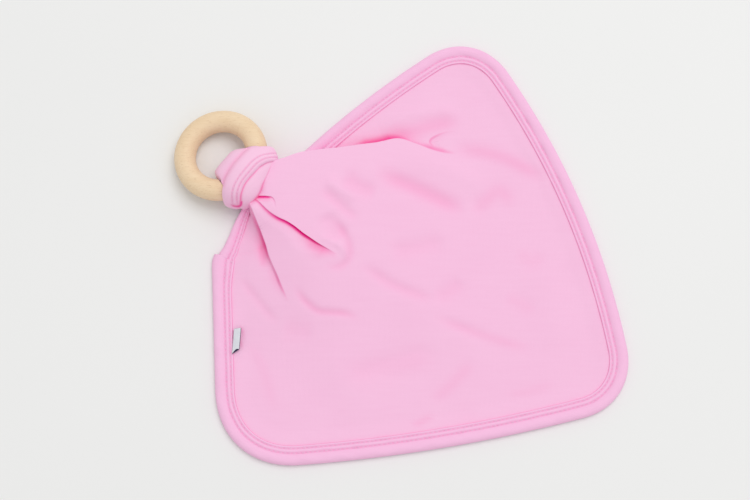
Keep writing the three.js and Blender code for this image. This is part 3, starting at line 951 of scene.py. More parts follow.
LONG_CREASE = Fold(
    path=((-1.4, -4.3), (0.4, -5.9), (3.3, -8.5), (6.4, -11.6), (11.8, -16.0), (17.2, -19.6), (22.6, -22.3),
          (28.1, -25.8), (34.4, -30.7), (39.7, -34.2), (45.1, -37.7), (50.5, -40.6), (56.5, -43.6)),
    lip=Lip.LEFT, depth=3.0, soft=15.0, wall=1.8, lean=2.5,
    strength=((0.0, 0.2), (0.25, 0.32), (0.5, 0.75), (0.66, 1.0), (0.82, 0.8), (1.0, 0.0)),
    tones=((0.0, 0.6), (0.2, 0.7), (0.34, 0.95), (0.5, 1.0), (0.64, 1.0), (0.78, 0.9), (0.88, 0.6),
           (1.0, 0.0)),
    glows=((0.0, 0.0), (0.52, 0.0), (0.64, 0.25), (0.76, 0.9), (0.9, 1.0), (1.0, 0.4)),
    shade=1.0, shade_width=2.3, halo=0.46, halo_width=7.0, ease=8.0)

HOOK_CREASE = Fold(
    path=((-0.6, -3.4), (1.1, -4.0), (4.9, -4.7), (9.2, -4.9), (12.6, -5.3), (14.6, -8.2), (15.4, -12.6)),
    lip=Lip.LEFT, depth=1.7, soft=5.5, wall=1.5, lean=1.7,
    strength=((0.0, 0.9), (0.35, 0.9), (0.6, 0.5), (1.0, 0.0)),
    tones=((0.0, 1.0), (0.3, 1.0), (0.5, 1.0), (0.64, 0.5), (0.8, 0.3), (1.0, 0.0)),
    shade=0.92, shade_width=1.5, halo=0.24, halo_width=3.2, ease=4.0)

CURL_CREASE = Fold(
    path=((131.0, 36.5), (128.0, 38.5), (126.2, 41.2), (127.6, 44.7), (132.0, 47.7), (139.5, 50.3),
          (148.0, 51.4)),
    lip=Lip.LEFT, depth=0.8, soft=7.0, wall=3.0, lean=0.6,
    strength=((0.0, 0.3), (0.3, 1.0), (0.6, 0.6), (1.0, 0.0)),
    tones=((0.0, 0.5), (0.2, 1.0), (0.45, 0.8), (0.65, 0.4), (1.0, 0.0)),
    shade=0.42, shade_width=2.2, halo=0.1, halo_width=6.0, ease=5.0)

FOLDS = (NECK_ROLL, LEFT_ROLL, LONG_CREASE, HOOK_CREASE, CURL_CREASE)


@dataclass(frozen=True)
class Tuck:
    """Line along which the cloth dives under the knot, with painted shade along it."""

    path: Path
    depth: float
    width: float
    # tone and line set how strong and how wide the painted shade along it is.
    tone: float
    line: float
    outside: float = 1.5
    step: float = 0.7

    def dive(self, plan: Array) -> Array:
        """How far the cloth sinks, all the way on the knot's side of the line."""
        near = beside(plan, through(self.path, self.step))
        return self.depth * bell(np.clip(near.side, 0.0, None), self.width)

    def painted_shade(self, plan: Array) -> Array:
        """Painted shade along the line."""
        near = beside(plan, through(self.path, self.step))
        return self.tone * bell(near.side + self.outside, self.line)


LEAF_TUCK = Tuck(
    path=((14.9, 23.8), (12.2, 19.9), (9.6, 15.2), (7.6, 10.4), (5.6, 6.8), (4.3, 4.0), (2.9, -0.1),
          (1.4, -2.8), (-0.4, -4.4), (-2.6, -6.7), (-4.8, -8.2), (-7.1, -9.4)),
    depth=4.0, width=3.4, tone=0.8, line=1.3)

# Swellings with a last number above zero carry painted shade in their hollows.
SWELLINGS = (
    Swelling(((44.3, -32.4), (51.5, -33.8), (58.7, -38.0), (63.1, -42.3), (65.4, -47.6), (64.9, -53.3)),
             1.1, 2.6),
    Swelling(((54, -17), (62, -27), (67, -36), (68, -45), (65, -51), (58, -55), (48, -53)), -1.0, 2.8, 0.12),
    Swelling(((49.0, -15.0), (56.0, -26.0), (64.5, -35.2)), -2.4, 6.5, 0.04),
    Swelling(((3.1, -34.0), (4.0, -44.0), (5.2, -56.0)), -0.4, 2.6, 0.12),
    Swelling(((47.7, 10.0), (60.8, 2.3), (75.4, -6.1)), 1.8, 4.5),
    Swelling(((45, 4), (55, -4), (64, -12), (76, -21)), -1.4, 4.0, 0.07),
    Swelling(((62, 13), (75, 5), (89, 0)), -2.0, 6.0, 0.08),
    Swelling(((28, -66), (32, -74), (37, -80), (45, -86), (54, -87), (65, -88), (77, -92)), -1.0, 2.6, 0.16),
    Swelling(((84, 17), (97, 13), (114, 7), (132, -1), (145, -7), (156, -12)), -2.4, 6.0, 0.17),
    Swelling(((156, -12), (166, -5), (177, 4), (184, 0), (191, -8)), -1.6, 5.5, 0.1),
    Swelling(((98.0, 30.0), (140.0, 20.0), (175.0, 2.0)), 1.4, 8.0),
    Swelling(((90.0, 45.0), (103.4, 46.4), (116.1, 50.0), (128.9, 54.4), (140.9, 57.0), (154.0, 56.0)),
             -1.2, 6.0, 0.16),
    Swelling(((88.0, 52.0), (108.3, 60.8), (120.9, 63.8), (137.8, 65.6), (153.8, 60.0)), 1.2, 3.6),
    Swelling(((141, 38), (154, 36), (168, 34), (182, 30), (194, 24), (207, 17), (217, 10)), -2.4, 5.0, 0.14),
    Swelling(((74, -50), (90, -61), (105, -69), (123, -75), (134, -77)), -1.2, 4.0, 0.08),
    Swelling(((128, -77), (139, -72), (152, -62)), -1.0, 6.0, 0.06),
    Swelling(((126, -88), (141, -94), (159, -101), (177, -107), (204, -115)), -1.2, 3.6, 0.09),
    Swelling(((158, -120), (152, -128), (143, -138), (134, -146), (125, -152)), -1.2, 4.0, 0.08),
    Swelling(((129, -160), (121, -165), (112, -170)), -0.8, 2.2, 0.12),
    Swelling(((-14, -59), (-7, -68), (1, -78), (10, -89), (18, -97)), -0.8, 3.2, 0.06),
    Swelling(((18, -97), (30, -100), (43, -102)), -0.8, 8.0, 0.04),
    Swelling(((58, -135), (86, -127), (113, -122), (136, -113)), -1.4, 9.0, 0.05),
    Swelling(((94, -42), (116, -39), (140, -32)), -1.4, 7.0, 0.05),
    Swelling(((-8, -107), (2, -121), (9, -139), (15, -161)), -0.8, 4.0, 0.05),
    Swelling(((190, -39), (201, -49), (211, -41)), -1.0, 5.0, 0.05),
    Swelling(((180, -74), (193, -80), (204, -87)), -1.0, 5.0, 0.05),
    Swelling(((179, -147), (198, -144), (218, -137)), -1.0, 3.6, 0.05),
    Swelling(((134.1, -182.6), (150.0, -172.0), (163.6, -160.1)), -1.2, 8.0, 0.03),
    Swelling(((90.0, -60.0), (130.0, -90.0), (170.0, -110.0)), 1.4, 22.0),
    Swelling(((40.0, -110.0), (70.0, -140.0), (90.0, -175.0)), 1.3, 18.0),
    Swelling(((200.0, -40.0), (215.0, -80.0), (222.0, -120.0)), 1.0, 14.0),
    # Painted shadow that the label casts on the cloth beside it.
    Swelling(((-10.6, -95.0), (-10.9, -104.5), (-11.3, -114.5)), -0.3, 1.4, 0.3),
)


@dataclass
class Lay:
    """How the doubled cloth lies: a full dome behind the knot that settles flat towards the edge."""

    outline: Outline
    full_height: float = 22.0
    left_fullness: float = 95.0
    fullness: float = 190.0
    turn_from: float = -112.0
    turn_over: float = 60.0
    fall_power: float = 1.2
    flank_drop: float = 0.3
    flank_heading: float = -85.0
    flank_turn: float = 45.0
    flank_from: float = 12.0
    flank_over: float = 20.0
    rim_height: float = 3.6
    field_height: float = 2.3
    rim_run: float = 12.0
    near_reach: float = 36.0
    near_lifts: tuple[float, float] = (3.5, 0.4)
    left_from: float = 34.0
    left_over: float = 16.0
    left_below: float = 10.0
    left_below_over: float = 20.0
    under_band: float = 2.0
    left_run: float = 14.0
    rise_run: float = 16.0
    quiet_run: float = 10.0
    least_height: float = 2.2
    free_reach: float = 105.0
    coarse_step: int = 3
    binding_width: float = BINDING_WIDTH
    narrow_share: float = NARROW_SHARE
    narrow_reach: float = 52.0
    join_extra: float = JOIN_EXTRA
    join_spread: float = 16.0
    folds: tuple[Fold, ...] = FOLDS
    swellings: tuple[Swelling, ...] = SWELLINGS

    def edge_distance(self, plan: Array, nearest: float = 0.0) -> Array:
        """Distance from the blanket's outer edge.

        Args:
            plan: points of the plan.
            nearest: the edge counts only where it is at least this far from the fan's centre.

        Returns:
            The distance of each point.
        """
        coarse = self.outline.edge[::self.coarse_step]
        coarse = coarse[np.linalg.norm(coarse, axis=1) >= nearest]
        best = np.full(len(plan), FAR)
        for a, b in zip(coarse, coarse[1:]):
            run = b - a
            offset = plan - a
            part = np.clip(offset @ run / max(run @ run, TINY), 0, 1)
            best = np.minimum(best, np.linalg.norm(offset - part[:, None] * run, axis=1))
        return best

    def dome(self, plan: Array) -> Array:
        """Height of the dome before its edge and its folds are pressed in.

        Args:
            plan: points of the plan.

        Returns:
            The height at each point, in millimetres.
        """
        radius = np.linalg.norm(plan, axis=1)
        heading = np.degrees(np.arctan2(plan[:, 1], plan[:, 0]))
        turned = eased((heading - self.turn_from) / self.turn_over)
        reach = between(self.left_fullness, self.fullness, turned)
        swell = (1 + np.cos(np.pi * np.minimum(1.0, radius / reach))) / 2
        past = eased((heading - self.flank_heading) / self.flank_turn)
        slope = 1 - self.flank_drop * (1 - past) * eased((radius - self.flank_from) / self.flank_over)
        return self.full_height * swell**self.fall_power * slope

    def lowered(self, plan: Array) -> Array:
        """Share of the dome that the flaps leave."""
        share = np.ones(len(plan))
        for flap in self.flaps():
            share = share * (1.0 - flap.lowering(plan))
        return share

    def flaps(self) -> list[Flap]:
        """The folds past which the cloth stays low."""
        return [fold for fold in self.folds if isinstance(fold, Flap)]

    def full(self, plan: Array) -> Array:
        """1 on the full part between the flaps, 0 on the flaps."""
        share = np.ones(len(plan))
        for flap in self.flaps():
            strength, out = flap.across(plan)
            share = share * (1.0 - strength * flap.climb(out))
        return share

    def height(self, plan: Array) -> Array:
        """Height of the cloth's top side.

        Args:
            plan: points of the plan.

        Returns:
            The height above the table at each point, in millimetres.
        """
        inside = self.edge_distance(plan) - self.band_width(plan)
        full = self.full(plan)
        free = self.edge_distance(plan, self.free_reach) - self.binding_width
        radius = np.linalg.norm(plan, axis=1)
        base = between(self.rim_height, self.field_height, eased(inside / self.rim_run))
        near = 1 - eased(radius / self.near_reach)
        base = base + near * between(*self.near_lifts, full)
        left = eased((radius - self.left_from) / self.left_over)
        left = left * eased((-plan[:, 1] - self.left_below) / self.left_below_over)
        full = full * between(1.0, eased((inside + self.under_band) / self.left_run), left)
        bound, free = (eased((away + self.under_band) / self.rise_run) for away in (inside, free))
        risen = between(bound, free, full)
        top = base + self.dome(plan) * self.lowered(plan) * risen
        for fold in self.folds:
            top = top - fold.drop(plan)
        quiet = eased(inside / self.quiet_run)
        for swelling in self.swellings:
            top = top + swelling.rise(plan) * quiet
        return np.maximum(top - LEAF_TUCK.dive(plan), self.least_height)

    def band_width(self, plan: Array) -> Array:
        """Width of the binding that is nearest, which narrows towards the knot."""
        join = polar(self.outline.join_radius, self.outline.start_heading)
        wider = self.join_extra * bell(np.linalg.norm(plan - join, axis=1), self.join_spread)
        grown = eased(np.linalg.norm(plan, axis=1) / self.narrow_reach)
        return self.binding_width * between(self.narrow_share, 1.0, grown) + wider

    def shift(self, plan: Array) -> Array:
        """How far the cloth leans in the plan."""
        return sum((fold.shift(plan) for fold in self.folds), np.zeros_like(plan))

    def painted_shade(self, plan: Array) -> Array:
        """Painted shade in the folds, along the tuck and in the hollows, from 0 to 1."""
        shades = [fold.painted_shade(plan) for fold in self.folds] + [LEAF_TUCK.painted_shade(plan)]
        hollow_shades = sum(swelling.painted_shade(plan) for swelling in self.swellings)
        return np.clip(np.max(shades, axis=0) + hollow_shades, 0.0, 1.0)


BAND_TOP = (
    (0.0, 2.4), (0.02, 3.6), (0.07, 4.9), (0.15, 5.7), (0.25, 6.1), (0.36, 6.0), (0.46, 5.5), (0.53, 4.9),
    (0.58, 4.35), (0.607, 4.1), (0.635, 4.35), (0.68, 4.75), (0.725, 4.85), (0.77, 4.7), (0.815, 4.25),
    (0.843, 3.95), (0.87, 4.2), (0.92, 4.55), (0.965, 4.4), (0.995, 3.9), (1.0, 3.2))

BAND_UNDERSIDE = ((0.97, 1.2), (0.75, 0.15), (0.5, 0.0), (0.25, 0.0), (0.08, 0.15), (0.02, 1.0))


@dataclass
class Blanket:
    """Both panels, the binding round them and its two rows of coverstitch."""

    centre: Array
    knot_centre: Array
    outward: Array
    outline: Outline = field(default_factory=Outline)
    side: float = 305.0
    front_grid: tuple[int, int] = (150, 130)
    back_grid: tuple[int, int] = (76, 66)
    crowding: float = 1.5
    crease_reaches: tuple[float, float] = (9.0, 5.5)
    least_crease: float = 0.04
    cloth_thickness: float = 0.8
    layer_gap: float = 1.5
    table_gap: float = 0.3
    back_smoothing: int = 3
    edge_cover: float = 8.0
    # pale_edge: distance over which the painted shade fades out towards the edge.
    pale_edge: float = 8.0
    neck: Path = ((-8.6, -8.2), (-5.4, -3.6), (-2.0, 4.1), (2.0, 11.6), (5.5, 17.0))
    neck_step: float = 0.5
    neck_side: Point = (-14.0, -21.0)
    roll_foot: Path = ((5.5, 17.0), (12.8, 20.2), (20.2, 22.6), (30.2, 26.4))
    top_turn: float = 110.0
    past_join: float = 12.0
    before_end: float = 14.0
    binding_width: float = BINDING_WIDTH
    thinnest: float = 0.62
    narrow_share: float = NARROW_SHARE
    narrow_from: float = 2.0
    narrow_over: float = 51.0
    narrow_power: float = 0.8
    join_extra: float = JOIN_EXTRA
    join_past: float = 3.0
    join_spread: float = 13.0
    neck_lift: float = 5.5
    neck_lift_reach: float = 40.0
    overlap_before: float = 3.4
    overlap_run: float = 0.8
    overlap_height: float = 0.35
    join_step: float = 2.9
    join_step_from: float = 20.0
    join_step_over: float = 30.0
    upper_from: float = 2.0
    puff: float = 0.03
    puff_wave: float = 17.0
    puff_drift: float = 3.1
    # Painted shade in the binding's colour: in the stitched rows' grooves, along the step at its inner edge
    # and where the knot overhangs it near the neck.
    row_shade: float = 0.3
    row_softness: float = 0.5
    seam_shade: float = 0.4
    seam_from: float = 0.9
    seam_height: float = 4.0
    neck_shade: float = 0.16
    neck_shade_reach: float = 26.0
    stitch_rows: tuple[float, float] = (8.5, 11.8)
    stitch_length: float = 2.5
    stitch_pitch: float = 3.3
    stitch_radius: float = 0.34
    stitch_stand: float = 0.12
    unstitched: tuple[int, int] = (3, 12)
    bend_from: float = 6.0
    bend_to: float = 44.0

    def place(self, plan: Array, height: Array) -> Array:
        """Points of the row's frame from the blanket's plan and heights."""
        return np.column_stack([plan + self.centre, height])

    def lay(self) -> Lay:
        """How the cloth lies."""
        return Lay(self.outline)

    def patch(self, rows: int, columns: int) -> Array:
        """Plan points of a sheet, row by row from the knot outwards, left to right as the folds fan.

        Args:
            rows: rows of points from the knot to the far sides.
            columns: points in a row.

        Returns:
            Plan points, rows times columns of them.
        """
        inner = self.outline.inset(self.edge_cover)
        along = self.outline.lengths()
        left_corner = self.corner_at(self.outline.headings[0], self.outline.headings[1])
        top_corner = self.corner_at(self.outline.headings[2], self.outline.headings[2] + self.top_turn)
        knee = int(np.searchsorted(along, self.outline.join_length + self.past_join))
        left_run = np.vstack([np.array([self.neck[0], self.neck_side]), inner[knee:left_corner + 1]])
        turn_in = int(np.searchsorted(along, self.outline.end_length - self.before_end))
        top_run = np.vstack([np.array(self.roll_foot), inner[top_corner:turn_in + 1][::-1]])
        far_run = inner[left_corner:top_corner + 1]
        near_run = through(self.neck, self.neck_step)
        return self.coons(left_run, top_run, near_run, far_run, rows, columns)

    def corner_at(self, before: float, after: float) -> int:
        """Number of the edge's point in the middle of the corner between two headings."""
        run = tangents(self.outline.edge)
        middle = polar(1.0, (before + after) / 2)
        return int(np.argmax(run @ middle))

    def coons(self, left: Array, right: Array, near: Array, far: Array, rows: int, columns: int) -> Array:
        """Sheet stretched between four plan curves, with its rows closer together at the near one.

        Args:
            left: curve along the sheet's left side, from near to far.
            right: curve along its right side, from near to far.
            near: curve along its near side, from left to right.
            far: curve along its far side, from left to right.
            rows: rows of points from near to far.
            columns: points in a row.

        Returns:
            Plan points, rows times columns of them.
        """
        def resampled(path: Array, shares: Array) -> Array:
            """Points at shares of a path's length."""
            along = lengths_along(path, 2)
            return np.column_stack([np.interp(shares * along[-1], along, column) for column in path.T])

        v = np.linspace(0, 1, rows) ** self.crowding
        u = np.linspace(0, 1, columns)
        lefts, rights = resampled(left, v), resampled(right, v)
        nears, fars = resampled(near, u), resampled(far, u)
        vs, us = v[:, None, None], u[None, :, None]
        ruled = (1 - us) * lefts[:, None] + us * rights[:, None] + (1 - vs) * nears[None] + vs * fars[None]
        corners = ((1 - us) * (1 - vs) * nears[0] + us * (1 - vs) * nears[-1]
                   + (1 - us) * vs * fars[0] + us * vs * fars[-1])
        return (ruled - corners).reshape(-1, 2)

    def build_front(self) -> bpy.types.Object:
        """Front panel with its dome, folds and gathered neck."""
        lay = self.lay()
        plan = self.patch(*self.front_grid)
        flat = np.column_stack([plan, np.zeros(len(plan))])
        piece = new_object("front_cloth", flat, grid_faces(*self.front_grid))
        for reach in self.crease_reaches:
            self.refine(piece, lay, reach)
        plan = places(piece)[:, :2]
        edge = np.clip(lay.edge_distance(plan) / self.pale_edge, 0, 1)
        move_to(piece, self.place(plan + lay.shift(plan), lay.height(plan)))
        # Painted shade from the folds, tuck and hollows, stored as 'fold' and faded out near the edge.
        put_values(piece, "fold", lay.painted_shade(plan) * eased(edge))
        return self.thickened(piece)

    def thickened(self, piece: bpy.types.Object) -> bpy.types.Object:
        """Sheet turned face up and given the cloth's thickness below its top side."""
        if np.mean([polygon.normal.z for polygon in piece.data.polygons]) < 0:
            piece.data.flip_normals()
        finished(piece, "SOLIDIFY", thickness=self.cloth_thickness * MM, offset=-1.0)
        return piece

    def refine(self, piece: bpy.types.Object, lay: Lay, reach: float) -> None:
        """Split the faces that are near a crease.

        Args:
            piece: the flat sheet.
            lay: how the cloth lies.
            reach: how far from a crease's path the faces are split.
        """
        middles = np.array([polygon.center[:2] for polygon in piece.data.polygons]) / MM
        chosen = np.zeros(len(middles), bool)
        for fold in lay.folds:
            near = beside(middles, fold.foot())
            chosen |= (np.abs(near.side) < reach) & (fold.strengths(near.share) > self.least_crease)
        alone(piece)
        bpy.ops.object.mode_set(mode="EDIT")
        bpy.ops.mesh.select_all(action="DESELECT")
        bpy.ops.object.mode_set(mode="OBJECT")
        piece.data.polygons.foreach_set("select", chosen)
        bpy.ops.object.mode_set(mode="EDIT")
        bpy.ops.mesh.select_mode(type="FACE")
        bpy.ops.mesh.subdivide(number_cuts=1)
        bpy.ops.object.mode_set(mode="OBJECT")

    def build_back(self) -> bpy.types.Object:
        """Back panel, which follows the front one from below."""
        lay = self.lay()
        rows, columns = self.back_grid
        plan = self.patch(rows, columns)
        top = lay.height(plan).reshape(rows, columns)
        for _ in range(self.back_smoothing):
            wide = np.pad(top, 1, mode="edge")
            shifted = [wide[i:i + rows, j:j + columns] for i in range(3) for j in range(3)]
            top = np.min(shifted, axis=0)
        top = np.maximum(top.ravel() - self.layer_gap, self.table_gap + self.cloth_thickness)
        piece = new_object("back_cloth", self.place(plan, top), grid_faces(rows, columns))
        self.thickened(piece)
        put_values(piece, "fold", np.zeros(len(piece.data.vertices)))
        return piece

    def thinned(self, width: Array) -> Array:
        """Share of its full height that the binding keeps where it is narrow."""
        return between(self.thinnest, 1.0, eased(width / self.binding_width))

    def band_plan(self, band: dict[str, Array], share: float) -> Array:
        """Plan points along the binding at a share of its width inwards."""
        inwards = band["step"] * (1 - share) + share * band["width"]
        return band["edge"] + band["inward"] * inwards[:, None]

    def band_frame(self) -> dict[str, Array]:
        """Where the binding runs: its edge, direction inwards, width, lift, step and overlap."""
        edge, along = self.outline.edge, self.outline.lengths()
        away = np.linalg.norm(edge, axis=1)
        past = along - self.outline.join_length
        grown = eased((away - self.narrow_from) / self.narrow_over) ** self.narrow_power
        width = self.binding_width * between(self.narrow_share, 1.0, grown)
        width = width + self.join_extra * bell(past - self.join_past, self.join_spread)
        lift = self.neck_lift * (1 - eased(away / self.neck_lift_reach)) * (along < along[-1] / 2)
        overlap = eased((past + self.overlap_before) / self.overlap_run)
        step_in = self.join_step * (1 - overlap) * eased((away - self.join_step_from) / self.join_step_over)
        return {"edge": edge, "along": along, "inward": inward(edge), "width": width, "lift": lift,
                "step": step_in, "overlap": overlap}

    def build_binding(self) -> bpy.types.Object:
        """Binding folded over the edge, with the puffed roll outside its two stitched rows."""
        band, profile = self.band_frame(), np.array(BAND_TOP + BAND_UNDERSIDE)
        count, ring = len(band["edge"]), len(profile)
        scale = self.thinned(band["width"])
        grid = np.zeros((count, ring, 3))
        for column, (share, height) in enumerate(profile):
            tall = height * scale
            if height > self.upper_from:
                drift = band["along"] + self.puff_drift * share
                puff = 1 + self.puff * ripple(drift, self.puff_wave, 3 + column // 4)
                tall = tall * puff + self.overlap_height * band["overlap"]
            grid[:, column, :2] = self.band_plan(band, share) + self.centre
            grid[:, column, 2] = tall + band["lift"]
        shares = np.tile(profile[:, 0], count)
        heights = np.tile(profile[:, 1], count)
        # Painted shade, stored as 'fold': the stitched rows' grooves, the step at the inner edge and the part
        # near the knot.
        dark = np.zeros(count * ring)
        for row in self.stitch_rows:
            away = shares * self.binding_width - row
            dark = np.maximum(dark, self.row_shade * bell(away, self.row_softness))
        seam = (heights < self.seam_height) & (shares > self.seam_from)
        dark = np.where(seam, self.seam_shade, dark) * (heights > self.upper_from)
        away = np.repeat(np.linalg.norm(band["edge"], axis=1), ring)
        dark += self.neck_shade * (1 - eased(away / self.neck_shade_reach))
        return closed_tube("bound_edge", grid.reshape(-1, 3), count, ring, dark)

    def row_points(self, distance: float) -> Array:
        """Points along one stitched row, on the binding's top."""
        band = self.band_frame()
        share = distance / self.binding_width
        tall = stopped(BAND_TOP, share) * self.thinned(band["width"])
        height = tall + band["lift"] + self.overlap_height * band["overlap"] + self.stitch_stand
        return self.place(self.band_plan(band, share), height)

    def build_stitches(self) -> bpy.types.Object:
        """Both needle rows of the coverstitch, one short stitch after another."""
        stitches = Stitches(self.stitch_length, self.stitch_radius)
        first, last = self.unstitched
        for distance in self.stitch_rows:
            row = evenly(self.row_points(distance), self.stitch_pitch, 3)
            stitches.sew(row[first:-last])
        return stitches.build("coverstitch")

    def dress(self, jersey: Jersey, binding: Jersey, thread: Thread) -> list[bpy.types.Object]:
        """Build all pieces, give them their finishes and bake their places into their meshes."""
        front, back = self.build_front(), self.build_back()
        edge, rows = self.build_binding(), self.build_stitches()
        cloth = jersey.material()
        looks = ((front, cloth, "jersey"), (back, cloth, "jersey"),
                 (edge, binding.material(), "binding"), (rows, thread.material(), "binding"))
        for piece, finish, slot in looks:
            piece.data.materials.append(finish)
        for piece in (front, back, edge, rows):
            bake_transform(piece)
        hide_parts("front_panel", "neck_gather")
        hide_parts("back_panel")
        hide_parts("edge_binding")
        return [front, back, edge, rows]


class Stitches:
    """Rows of short stitches, gathered into one piece."""

    sides = 6
    waist = 0.25
    end_from = 0.4
    taper = 0.55
    sink = 0.7

    def __init__(self, length: float, radius: float) -> None:
        """Make the stitch that every row repeats.

        Args:
            length: the stitch's length.
            radius: the thread's radius.
        """
        self.points, self.faces = self.shape(length, radius)
        self.groups: list[Array] = []
        self.numbers: list[list[int]] = []

    def shape(self, length: float, radius: float) -> tuple[Array, list[list[int]]]:
        """One stitch of thread, lying along x: a six-sided bar with sunken, tapered ends."""
        bpy.ops.object.select_all(action="DESELECT")
        bpy.ops.mesh.primitive_cylinder_add(vertices=self.sides, radius=radius * MM, depth=length * MM,
                                            rotation=(0, math.pi / 2, 0))
        bar = bpy.context.object
        bpy.ops.object.transform_apply(location=True, rotation=True, scale=True)
        bpy.ops.object.mode_set(mode="EDIT")
        for side in (1, -1):
            bpy.ops.mesh.select_all(action="SELECT")
            bpy.ops.mesh.bisect(plane_co=(side * length * self.waist * MM, 0, 0), plane_no=(1, 0, 0))
        bpy.ops.object.mode_set(mode="OBJECT")
        points = places(bar)
        ends = np.abs(points[:, 0]) > length * self.end_from
        points[ends, 1:] *= self.taper
        points[ends, 2] -= radius * self.sink
        faces = [list(polygon.vertices) for polygon in bar.data.polygons]
        bpy.data.objects.remove(bar)
        return points, faces

    def sew(self, row: Array, normals: Array | None = None) -> None:
        """Copy the stitch along a row.

        Args:
            row: where each stitch lies.
            normals: the surface's direction at each place; straight up if there is none.
        """
        up = np.tile([0.0, 0.0, 1.0], (len(row), 1)) if normals is None else normals
        for place, ahead, over in zip(row, tangents(row), up):
            aside = np.cross(over, ahead)
            aside /= np.linalg.norm(aside)
            upright = np.cross(ahead, aside)
            offset = len(self.groups) * len(self.points)
            self.groups.append(place + self.points @ np.array([ahead, aside, upright]))
            self.numbers.extend([offset + index for index in face] for face in self.faces)

    def build(self, name: str) -> bpy.types.Object:
        """All rows as one piece."""
        return new_object(name, np.vstack(self.groups), self.numbers)


# The knot


@dataclass
class Strap:
    """Flattened, rolled length of the blanket's corner between two rails, crowned outwards.

    Stations give a point of the left and of the right rail and half the thickness. The points are depth
    towards the fan, length along the ring and height, from the middle of the knot.
    """

    name: str
    stations: Stations
    heart: Rail
    power: float = 2.3
    around: int = 40
    step: float = 0.9

    def __post_init__(self) -> None:
        """Run the rails through their stations and find the strap's directions."""
        rows = through([(*left, *right, thick) for left, right, thick in self.stations], self.step, 6)
        half = (rows[:, 3:6] - rows[:, :3]) / 2
        self.path = rows[:, :3] + half
        self.thick = rows[:, 6]
        self.wide = np.linalg.norm(half, axis=1)
        self.aside = half / self.wide[:, None]
        over = np.cross(tangents(self.path), self.aside)
        over *= np.sign(np.sum(over * (self.path - np.array(self.heart)), axis=1))[:, None]
        self.over = over / np.linalg.norm(over, axis=1)[:, None]

    def grid(self) -> Array:
        """Points of all sections, one section in each row."""
        across, rise = rounded_box(self.turns(), 2 / self.power)
        return (self.path[:, None] + (self.wide[:, None] * across)[..., None] * self.aside[:, None]
                + (self.thick[:, None] * rise)[..., None] * self.over[:, None])

    def turns(self) -> Array:
        """Angles of a section's points; the outer face is at those with a sine above zero."""
        return np.linspace(0, 2 * math.pi, self.around, endpoint=False)

    def top(self, index: int, share: float) -> Array:
        """Point on the outer face, at a share from -1 to 1 of half the width."""
        rise = self.thick[index] * max(0.0, 1 - abs(share) ** self.power) ** (1 / self.power)
        return self.path[index] + self.wide[index] * share * self.aside[index] + rise * self.over[index]


